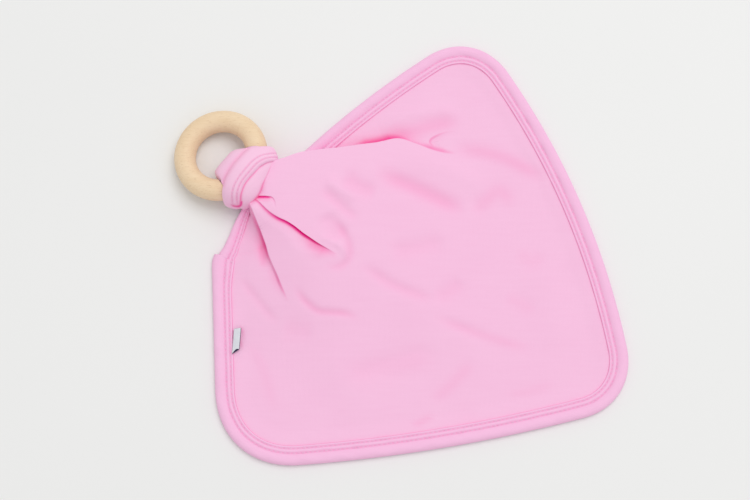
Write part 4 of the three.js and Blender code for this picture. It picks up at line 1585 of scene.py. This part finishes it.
@dataclass
class Knot:
    """The blanket's corner round the ring: the loop's sleeve, the stitched band and the leaf beside it."""

    tube_centre: Array
    outward: Array
    along: Array
    studio: "Studio"
    ring_centre: Array
    ring_axis: Array
    ring_radius: float = RING_RADIUS
    tube_radius: float = TUBE_RADIUS
    clearance: float = 0.35
    heart: Rail = (0.0, 0.0, 15.0)
    band_stations: Stations = (
        ((-0.5, -15.5, 3.4), (8.0, -11.5, 3.4), 2.4), ((-1.6, -23.0, 6.0), (9.6, -17.0, 6.0), 3.0),
        ((-1.6, -24.6, 11.5), (10.2, -18.7, 11.5), 3.4), ((-1.2, -25.2, 16.0), (10.0, -18.4, 16.5), 3.2),
        ((-1.9, -24.6, 20.4), (9.2, -17.5, 21.7), 3.4), ((-4.1, -22.2, 24.4), (7.5, -14.8, 27.2), 4.2),
        ((-6.2, -18.6, 27.2), (6.6, -12.3, 30.0), 4.6), ((-8.0, -14.3, 28.8), (5.4, -8.0, 31.6), 4.8),
        ((-9.5, -9.0, 29.7), (5.0, -2.7, 32.4), 4.8), ((-10.7, -2.0, 30.0), (5.0, 3.6, 32.6), 4.8),
        ((-11.0, 4.8, 29.2), (5.1, 9.8, 32.0), 4.4), ((-11.2, 10.9, 27.8), (6.2, 14.9, 30.2), 4.0),
        ((-10.2, 15.7, 26.2), (7.7, 18.5, 27.6), 3.4), ((-6.0, 22.0, 23.5), (9.2, 21.2, 23.8), 2.8),
        ((-1.8, 27.2, 18.2), (9.6, 22.0, 19.2), 2.6), ((-1.2, 26.2, 13.0), (6.8, 20.0, 14.0), 2.4),
        ((-5.0, 17.0, 3.4), (4.0, 14.0, 3.4), 2.2))
    leaf_stations: Stations = (
        ((7.7, 19.7, 24.0), (9.8, 21.2, 20.5), 1.0), ((3.1, 15.1, 28.0), (10.7, 17.3, 20.5), 2.4),
        ((0.5, 7.3, 30.4), (12.1, 11.3, 20.8), 3.8), ((0.3, -1.3, 31.0), (13.7, 4.3, 21.0), 4.6),
        ((2.0, -8.8, 30.2), (15.6, -2.8, 20.5), 4.8), ((4.8, -15.2, 27.0), (16.1, -8.5, 18.5), 4.4),
        ((7.3, -19.0, 20.6), (14.6, -13.9, 13.6), 3.6), ((8.2, -19.0, 11.5), (13.4, -15.4, 8.5), 3.0),
        ((7.0, -16.0, 4.4), (11.0, -13.0, 4.2), 2.2))
    sleeve_ends: tuple[tuple[float, float, float, float, float], ...] = (
        (-15.8, -19.0, 5.0, 20.0, -0.25), (-15.2, -20.6, 7.5, 23.5, -0.25), (-13.6, -21.6, 8.8, 25.4, -0.25),
        (-9.0, -21.9, 9.6, 27.0, -0.15), (0.0, -21.8, 10.0, 28.2, 0.1), (8.0, -22.0, 9.5, 27.4, 0.45),
        (13.4, -21.8, 8.6, 25.6, 0.75), (15.4, -20.6, 7.5, 23.6, 0.8), (16.0, -19.0, 6.0, 21.0, 0.8))
    shear_at: float = -13.0
    shear_to: float = -7.0
    row_edges: tuple[float, float] = (2.0, 5.4)
    row_width: float = 0.55
    row_depth: float = 0.45
    # Painted shade in the grooves of the sunk rows.
    row_shade: float = 0.34
    rows_from: float = 0.17
    rows_to: float = 0.88
    rows_ease: tuple[float, float] = (10.0, 8.0)
    stitched: tuple[float, float] = (0.22, 0.84)
    stitch_length: float = 2.3
    stitch_radius: float = 0.32
    stitch_pitch: float = 3.0
    stitch_sink: float = 0.3
    outer_from: float = 0.05
    low_until: float = 0.35
    low_height: float = 5.0
    dent_ends: float = 5.0
    dent_width: float = 1.0
    dent_depths: tuple[float, float] = (1.2, 2.6)
    # Painted shadow in the crescent where the band's lower end tucks over its rim: how wide, how soon and how
    # dark.
    cup_spreads: tuple[float, float] = (0.55, 0.95)
    cup_onset: float = 4.0
    cup_shades: tuple[float, float] = (0.6, 1.0)
    cup_step: float = 0.5
    # Painted shade lines, drawn along paths in the camera's picture: how finely and how wide.
    line_step: float = 0.6
    line_width: float = 0.9
    valley_width: float = 1.7
    sleeve_around: int = 64
    sleeve_step: float = 0.8
    sleeve_foot: float = 0.4
    sleeve_wall: float = 1.2
    squareness: float = 0.86
    swing_rounds: int = 4
    swing_most: float = 0.95
    # Painted shade along the valley, on the band and on the sleeve.
    valley_shades: tuple[float, float] = (0.16, 0.2)
    leaf_power: float = 2.1
    leaf_around: int = 56
    band_around: int = 72
    # Painted shade along the leaf's edges by the band, the cup and the fan.
    leaf_shades: tuple[float, float, float] = (0.6, 0.95, 0.5)
    # Paths in the camera's picture along which painted shade is drawn; the cup's path also places the band's
    # dent.
    cup: Path = (
        (-105.9, 34.5), (-105.4, 33.2), (-104.1, 32.4), (-102.4, 32.1), (-100.7, 32.2), (-98.9, 33.1),
        (-98.5, 35.4))
    band_edge: Path = (
        (-72.4, 64.9), (-75.2, 65.9), (-79.2, 65.0), (-82.7, 63.1), (-86.2, 60.6), (-89.0, 57.4),
        (-91.8, 54.2), (-95.0, 50.4), (-96.8, 47.2), (-98.2, 43.7), (-98.9, 40.5), (-99.1, 35.6),
        (-99.6, 32.8))
    fan_edge: Path = (
        (-74.5, 64.1), (-77.4, 58.2), (-79.5, 53.6), (-81.6, 50.0), (-83.0, 47.2), (-84.4, 43.0),
        (-85.9, 40.2), (-87.6, 38.4), (-89.7, 35.6), (-91.8, 33.8))
    valley: Path = (
        (-93.6, 74.7), (-96.8, 71.6), (-99.6, 68.4), (-103.1, 64.5), (-105.9, 60.3), (-108.4, 56.4),
        (-110.2, 53.2), (-111.2, 50.7), (-111.7, 47.5))

    def place(self, local: Array) -> Array:
        """Points of the row's frame from depth, length and height."""
        flat = local[..., 0:1] * self.outward + local[..., 1:2] * self.along
        return np.concatenate([flat + self.tube_centre, local[..., 2:3]], axis=-1)

    def line(self, points: Array, path: Path, width: float, tone: float) -> Array:
        """Painted shade of a soft line that is drawn along a path as it shows.

        Args:
            points: points of the row's frame.
            path: the line's path in the camera's picture.
            width: how far the line fades out to each side.
            tone: its depth in the middle.

        Returns:
            The tone at each point.
        """
        near = beside(self.studio.seen(points), through(path, self.line_step))
        return tone * bell(near.side, width)

    def off_ring(self, points: Array, least: float) -> Array:
        """Push points out of the ring's tube.

        Args:
            points: points of the row's frame.
            least: the least distance that they keep from the tube's middle.

        Returns:
            The points, with those that were nearer moved straight away from the tube's middle.
        """
        offset = points - self.ring_centre
        high = offset @ self.ring_axis
        flat = offset - high[:, None] * self.ring_axis
        radius = np.linalg.norm(flat, axis=1)
        away = np.hypot(radius - self.ring_radius, high)
        grow = np.maximum(1.0, least / np.maximum(away, TINY))
        fresh = self.ring_radius + (radius - self.ring_radius) * grow
        return self.ring_centre + flat * (fresh / radius)[:, None] + np.outer(high * grow, self.ring_axis)

    def build_band(self) -> tuple[bpy.types.Object, Strap]:
        """Stitched band over the ring, with its rows sunk in and its lower end tucked over a rim, and painted
        shade in the rows, the tucked crescent and the valley.
        """
        strap = Strap("stitched_band", self.band_stations, self.heart, around=self.band_around)
        local = strap.grid()
        run = np.linspace(0, 1, len(local))[:, None]
        outer = (np.sin(strap.turns()) > self.outer_from)[None, :]
        half = strap.wide[:, None]
        shares = np.einsum("ijk,ik->ij", local - strap.path[:, None], strap.aside) / half
        rows = sum(bell((1 - shares) * half - distance, self.row_width) for distance in self.row_edges)
        begins = eased((run - self.rows_from) * self.rows_ease[0])
        rows = rows * outer * begins * eased((self.rows_to - run) * self.rows_ease[1])
        local = local - self.row_depth * rows[..., None] * strap.over[:, None]
        points = self.place(local).reshape(-1, 3)
        low = (outer & (run < self.low_until) & (local[..., 2] > self.low_height)).ravel()
        cup = beside(self.studio.seen(points), through(self.cup, self.cup_step))
        ends = eased(cup.share * self.dent_ends) * eased((1 - cup.share) * self.dent_ends)
        dent = between(*self.dent_depths, cup.share) * (low * ends * bell(cup.side, self.dent_width))
        pushed = local.reshape(-1, 3) - dent[:, None] * np.repeat(strap.over, strap.around, axis=0)
        points = self.off_ring(self.place(pushed), self.tube_radius + self.clearance)
        # Painted shadow in the tucked crescent, drawn along the cup's path as it shows.
        after = beside(self.studio.seen(points), through(self.cup, self.cup_step))
        shade = low * bell(after.side, between(*self.cup_spreads, after.share))
        shade = shade * eased(after.share * self.cup_onset) * between(*self.cup_shades, after.share)
        # Painted shade along the valley beside the sleeve.
        valley = self.line(points, self.valley, self.valley_width, self.valley_shades[0])
        dark = np.max([self.row_shade * rows.ravel(), shade, valley], axis=0)
        return closed_tube(strap.name, points, len(strap.path), strap.around, dark), strap

    def build_leaf(self) -> bpy.types.Object:
        """Smooth leaf of cloth that shows between the band and the fan, with painted shade along its edges.
        """
        strap = Strap("knot_leaf", self.leaf_stations, self.heart, self.leaf_power, self.leaf_around)
        points = self.off_ring(self.place(strap.grid()).reshape(-1, 3), self.tube_radius + self.clearance)
        lines = zip((self.band_edge, self.cup, self.fan_edge), self.leaf_shades)
        dark = np.max([self.line(points, path, self.line_width, tone) for path, tone in lines], axis=0)
        return closed_tube(strap.name, points, len(strap.path), strap.around, dark)

    def slanted(self, along: float, shear: float, depth: Array) -> Array:
        """Length along the ring of points of one station, which leans with the depth towards the fan."""
        return along + shear * (np.minimum(depth, self.shear_to) - self.shear_at)

    def build_sleeve(self) -> bpy.types.Object:
        """Sleeve of cloth round the ring's tube, with slanting ends and the tube's hole through it."""
        stations = through(self.sleeve_ends, self.sleeve_step, 1)
        around = self.sleeve_around
        turns = np.linspace(0, 2 * math.pi, around, endpoint=False)
        cosine, sine = np.cos(turns), np.sin(turns)
        level, upright = rounded_box(turns, self.squareness)
        hole = self.tube_radius + self.clearance
        side = np.append(self.outward, 0.0)
        radial = side - self.ring_axis * (side @ self.ring_axis)
        radial /= np.linalg.norm(radial)
        across = np.cross(self.ring_axis, radial)
        across *= np.sign(across[:2] @ self.along)
        outer, inner = [], []
        for b, left, right, top, shear in stations:
            middle, wide, tall = (left + right) / 2, (right - left) / 2, (top - self.sleeve_foot) / 2
            a = middle + wide * level
            z = self.sleeve_foot + tall + tall * upright
            aslant = self.slanted(b, shear, a)
            shell = self.place(np.column_stack([a, aslant, z]))
            outer.append(self.off_ring(shell, hole + self.sleeve_wall))
            reach = self.ring_radius + hole * cosine
            swing = np.full(around, math.asin(b / self.ring_radius))
            for _ in range(self.swing_rounds):
                depth = reach * np.cos(swing) - self.ring_radius
                aslant = self.slanted(b, shear, depth)
                swing = np.arcsin(np.clip(aslant / reach, -self.swing_most, self.swing_most))
            ray = radial * np.cos(swing)[:, None] + across * np.sin(swing)[:, None]
            inner.append(self.ring_centre + ray * reach[:, None] + np.outer(hole * sine, self.ring_axis))
        count = len(stations)
        vertices = np.vstack([*outer, *inner])
        shell = grid_faces(count, around, True)
        inside = [[index + count * around for index in face][::-1] for face in shell]
        ends = joined_rows(0, count, around) + joined_rows(count - 1, 2 * count - 1, around)
        piece = new_object("loop_sleeve", vertices, shell + inside + ends)
        # Painted shade along the valley beside the band.
        dark = self.line(vertices, self.valley, self.valley_width, self.valley_shades[1])
        put_values(piece, "fold", dark)
        return outward(piece)

    def build_rows(self, strap: Strap) -> bpy.types.Object:
        """Coverstitch rows that show on the band."""
        stitches = Stitches(self.stitch_length, self.stitch_radius)
        first, last = (round(len(strap.path) * share) for share in self.stitched)
        for distance in self.row_edges:
            spots = []
            for index in range(first, last):
                over = strap.over[index]
                spot = strap.top(index, 1 - distance / strap.wide[index]) - over * self.stitch_sink
                spots.append((*spot, *over))
            row = evenly(np.array(spots), self.stitch_pitch, 3)
            flat = row[:, 3:4] * self.outward + row[:, 4:5] * self.along
            stitches.sew(self.place(row[:, :3]), np.concatenate([flat, row[:, 5:6]], axis=1))
        return stitches.build("band_stitches")

    def dress(self, jersey: Jersey, thread: Thread) -> list[bpy.types.Object]:
        """Build all pieces, give them their finishes and let them ride on the knot."""
        (band, strap), leaf, sleeve = self.build_band(), self.build_leaf(), self.build_sleeve()
        rows = self.build_rows(strap)
        cloth = jersey.material()
        for piece, finish in ((band, cloth), (leaf, cloth), (sleeve, cloth), (rows, thread.material())):
            piece.data.materials.append(finish)
            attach(piece, "knot")
        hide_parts("ring_loop")
        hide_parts("knot_wrap", "knot_core")
        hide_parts("knot_strap")
        return [band, leaf, sleeve, rows]


# Ring and label


@dataclass
class Ring:
    """Turned beech ring with a round section."""

    centre: Array
    axis: Array
    radius: float = RING_RADIUS
    tube_radius: float = TUBE_RADIUS
    around: int = 160
    section: int = 40

    def dress(self, beech: Beech) -> bpy.types.Object:
        """Turn the ring from a torus, smooth it and let it ride on its body."""
        bpy.ops.object.select_all(action="DESELECT")
        turn = Vector((0, 0, 1)).rotation_difference(Vector(self.axis)).to_euler()
        bpy.ops.mesh.primitive_torus_add(major_segments=self.around, minor_segments=self.section,
                                         major_radius=self.radius * MM, minor_radius=self.tube_radius * MM,
                                         location=self.centre * MM, rotation=turn)
        piece = bpy.context.object
        piece.name = "turned_ring"
        bpy.ops.object.transform_apply(location=True, rotation=True, scale=True)
        bpy.ops.object.shade_smooth()
        piece.data.materials.append(beech.material())
        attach(piece, "ring")
        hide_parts("wooden_ring")
        return piece


@dataclass
class Label:
    """Short ribbon folded double and caught in the left seam."""

    hinge: Array
    run: float = 18.4
    reach: float = 5.0
    lean: float = 2.4
    skew: float = 3.4
    dip: float = 1.7
    rise: float = 0.6
    thickness: float = 0.3
    fold_radius: float = 0.4
    middle: float = 2.6
    heights: tuple[float, ...] = (0.0, 0.05, 0.1, 0.4, 0.75, 0.85, 0.5)
    face: Ribbon = Ribbon("label_face", colour=(226, 228, 234), shade=(204, 206, 216))
    underside: Ribbon = Ribbon("label_underside", colour=(44, 26, 74), shade=(30, 18, 56))
    step: float = 0.4
    rows: int = 34
    wave: float = 0.12
    wave_turns: tuple[float, float] = (0.5, 0.3)

    def build(self) -> bpy.types.Object:
        """Lay the ribbon out from the seam, fold it back over itself and give it its thickness."""
        turn_from = self.reach - self.fold_radius
        outs = (0.0, self.middle, turn_from, self.reach, turn_from, self.middle, 0.0)
        section = through(list(zip(outs, self.heights)), self.step)
        rows = self.rows
        half = len(section) / 2
        vertices = []
        for column, (out, up) in enumerate(section):
            share = min(max(out / self.reach, 0.0), 1.0)
            dip = self.dip * math.sin(math.pi * share) if column > half else 0.0
            low = -self.run / 2 + self.skew * share + dip
            high = self.run / 2 + self.rise * share
            for row in range(rows):
                y = between(low, high, row / (rows - 1))
                sway = self.lean * y / self.run * 0.5
                swell = self.wave * math.sin(y * self.wave_turns[0] + out * self.wave_turns[1])
                vertices.append((out + sway, y, up + swell))
        local = np.array(vertices)
        piece = new_object("folded_label", local + self.hinge, grid_faces(len(section), rows))
        for finish in (self.face, self.underside):
            piece.data.materials.append(finish.material())
        for polygon in piece.data.polygons:
            polygon.material_index = 0 if polygon.index // (rows - 1) > half else 1
        finished(piece, "SOLIDIFY", thickness=self.thickness * MM, offset=0.0)
        return piece

    def dress(self) -> bpy.types.Object:
        """Build the label and let it ride on its body."""
        piece = self.build()
        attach(piece, "label")
        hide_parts("side_label")
        return piece


# Studio


@dataclass
class Studio:
    """Pale card, soft light and the camera that looks down on the blanket."""

    aim: Array
    elevation: float = 79.0
    distance: float = 1074.8
    lens: float = 70.0
    sky: float = 0.68
    key_power: float = 39.0
    key_size: float = 2.1
    key_distance: float = 3.2
    key_heading: float = 52.0
    key_elevation: float = 67.0
    floor_size: float = 6.0
    sensor: float = 36.0
    clip: tuple[float, float] = (0.01, 20.0)

    def floor(self, card: PaleCard) -> bpy.types.Object:
        """Card that the blanket lies on."""
        bpy.ops.object.select_all(action="DESELECT")
        bpy.ops.mesh.primitive_plane_add(size=self.floor_size, location=(0, 0, 0))
        piece = bpy.context.object
        piece.name = "floor"
        piece.data.materials.append(card.material())
        return piece

    def lights(self) -> None:
        """Even sky and one large soft lamp from the upper right."""
        world = bpy.data.worlds.new("studio")
        bpy.context.scene.world = world
        world.use_nodes = True
        background = world.node_tree.nodes["Background"]
        background.inputs["Color"].default_value = (1.0, 1.0, 1.0, 1.0)
        background.inputs["Strength"].default_value = self.sky
        lamp = bpy.data.lights.new("softbox", "AREA")
        lamp.shape = "SQUARE"
        lamp.size = self.key_size
        lamp.energy = self.key_power
        source = bpy.data.objects.new("softbox", lamp)
        bpy.context.scene.collection.objects.link(source)
        back = self.direction(self.key_heading, self.key_elevation)
        source.location = back * self.key_distance
        source.rotation_mode = "QUATERNION"
        source.rotation_quaternion = (-back).to_track_quat("-Z", "Y")

    def seen(self, points: Array) -> Array:
        """Where points show in the camera's picture, in millimetres at the distance of its aim."""
        back = np.array(self.direction(-90.0, self.elevation))
        across = np.array([1.0, 0.0, 0.0])
        offset = points - np.append(self.aim, 0.0)
        nearness = 1.0 - offset @ back / self.distance
        return np.column_stack([offset @ across, offset @ np.cross(back, across)]) / nearness[:, None]

    @staticmethod
    def direction(heading: float, elevation: float) -> Vector:
        """Unit vector at a heading of the plan and an elevation above it, in degrees."""
        flat = polar(math.cos(math.radians(elevation)), heading)
        return Vector((flat[0], flat[1], math.sin(math.radians(elevation))))

    def camera(self) -> None:
        """Camera a little off straight above, from the near side."""
        lens = bpy.data.cameras.new("camera")
        lens.lens = self.lens
        lens.sensor_width = self.sensor
        lens.clip_start, lens.clip_end = self.clip
        camera = bpy.data.objects.new("camera", lens)
        bpy.context.scene.collection.objects.link(camera)
        back = self.direction(-90.0, self.elevation)
        camera.location = Vector((*(self.aim * MM), 0.0)) + back * self.distance * MM
        camera.rotation_mode = "QUATERNION"
        camera.rotation_quaternion = (-back).to_track_quat("-Z", "Y")
        bpy.context.scene.camera = camera


def node_centre(name: str) -> Array:
    """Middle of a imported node's box, in millimetres."""
    low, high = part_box(name)
    return np.array((low + high) / 2) / MM


def main() -> None:
    """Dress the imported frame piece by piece."""
    bpy.context.scene.view_settings.view_transform = "Standard"
    ring_centre = node_centre("wooden_ring")
    studio = Studio(aim=ring_centre[:2] + AIM_FROM_RING)
    studio.camera()
    studio.lights()
    studio.floor(PaleCard("pale_card", colour=(240, 240, 239)))

    pink = Jersey("pink_jersey", colour=(249, 196, 227), shade=(246, 189, 222))
    bound = Jersey("binding_jersey", colour=(249, 195, 228), shade=(246, 187, 223), turn=20.0)
    # The knot's jersey is the blanket's pink painted a little lighter: painted light on the raised knot.
    lit_knot = Jersey("lit_knot_jersey", colour=(250, 203, 230), shade=(247, 195, 224), turn=-40.0)
    thread = Thread("pink_thread", colour=(247, 198, 228))
    beech = Beech("sanded_beech", pale=(242, 217, 183), brown=(233, 203, 165), fleck=(203, 167, 127))

    blanket = Blanket(ring_centre[:2] + FAN_FROM_RING, KNOT_CENTRE, OUTWARD)
    knot = Knot(KNOT_CENTRE, OUTWARD, ALONG, studio, ring_centre, RING_AXIS)
    pieces = [*blanket.dress(pink, bound, thread), *knot.dress(lit_knot, thread)]
    pieces.append(Ring(ring_centre, RING_AXIS).dress(beech))
    pieces.append(Label(LABEL_HINGE).dress())
    for piece in pieces:
        log.info("%s: %d faces", piece.name, len(piece.data.polygons))


if __name__ == "__main__":
    logging.basicConfig(level=logging.INFO)
    main()
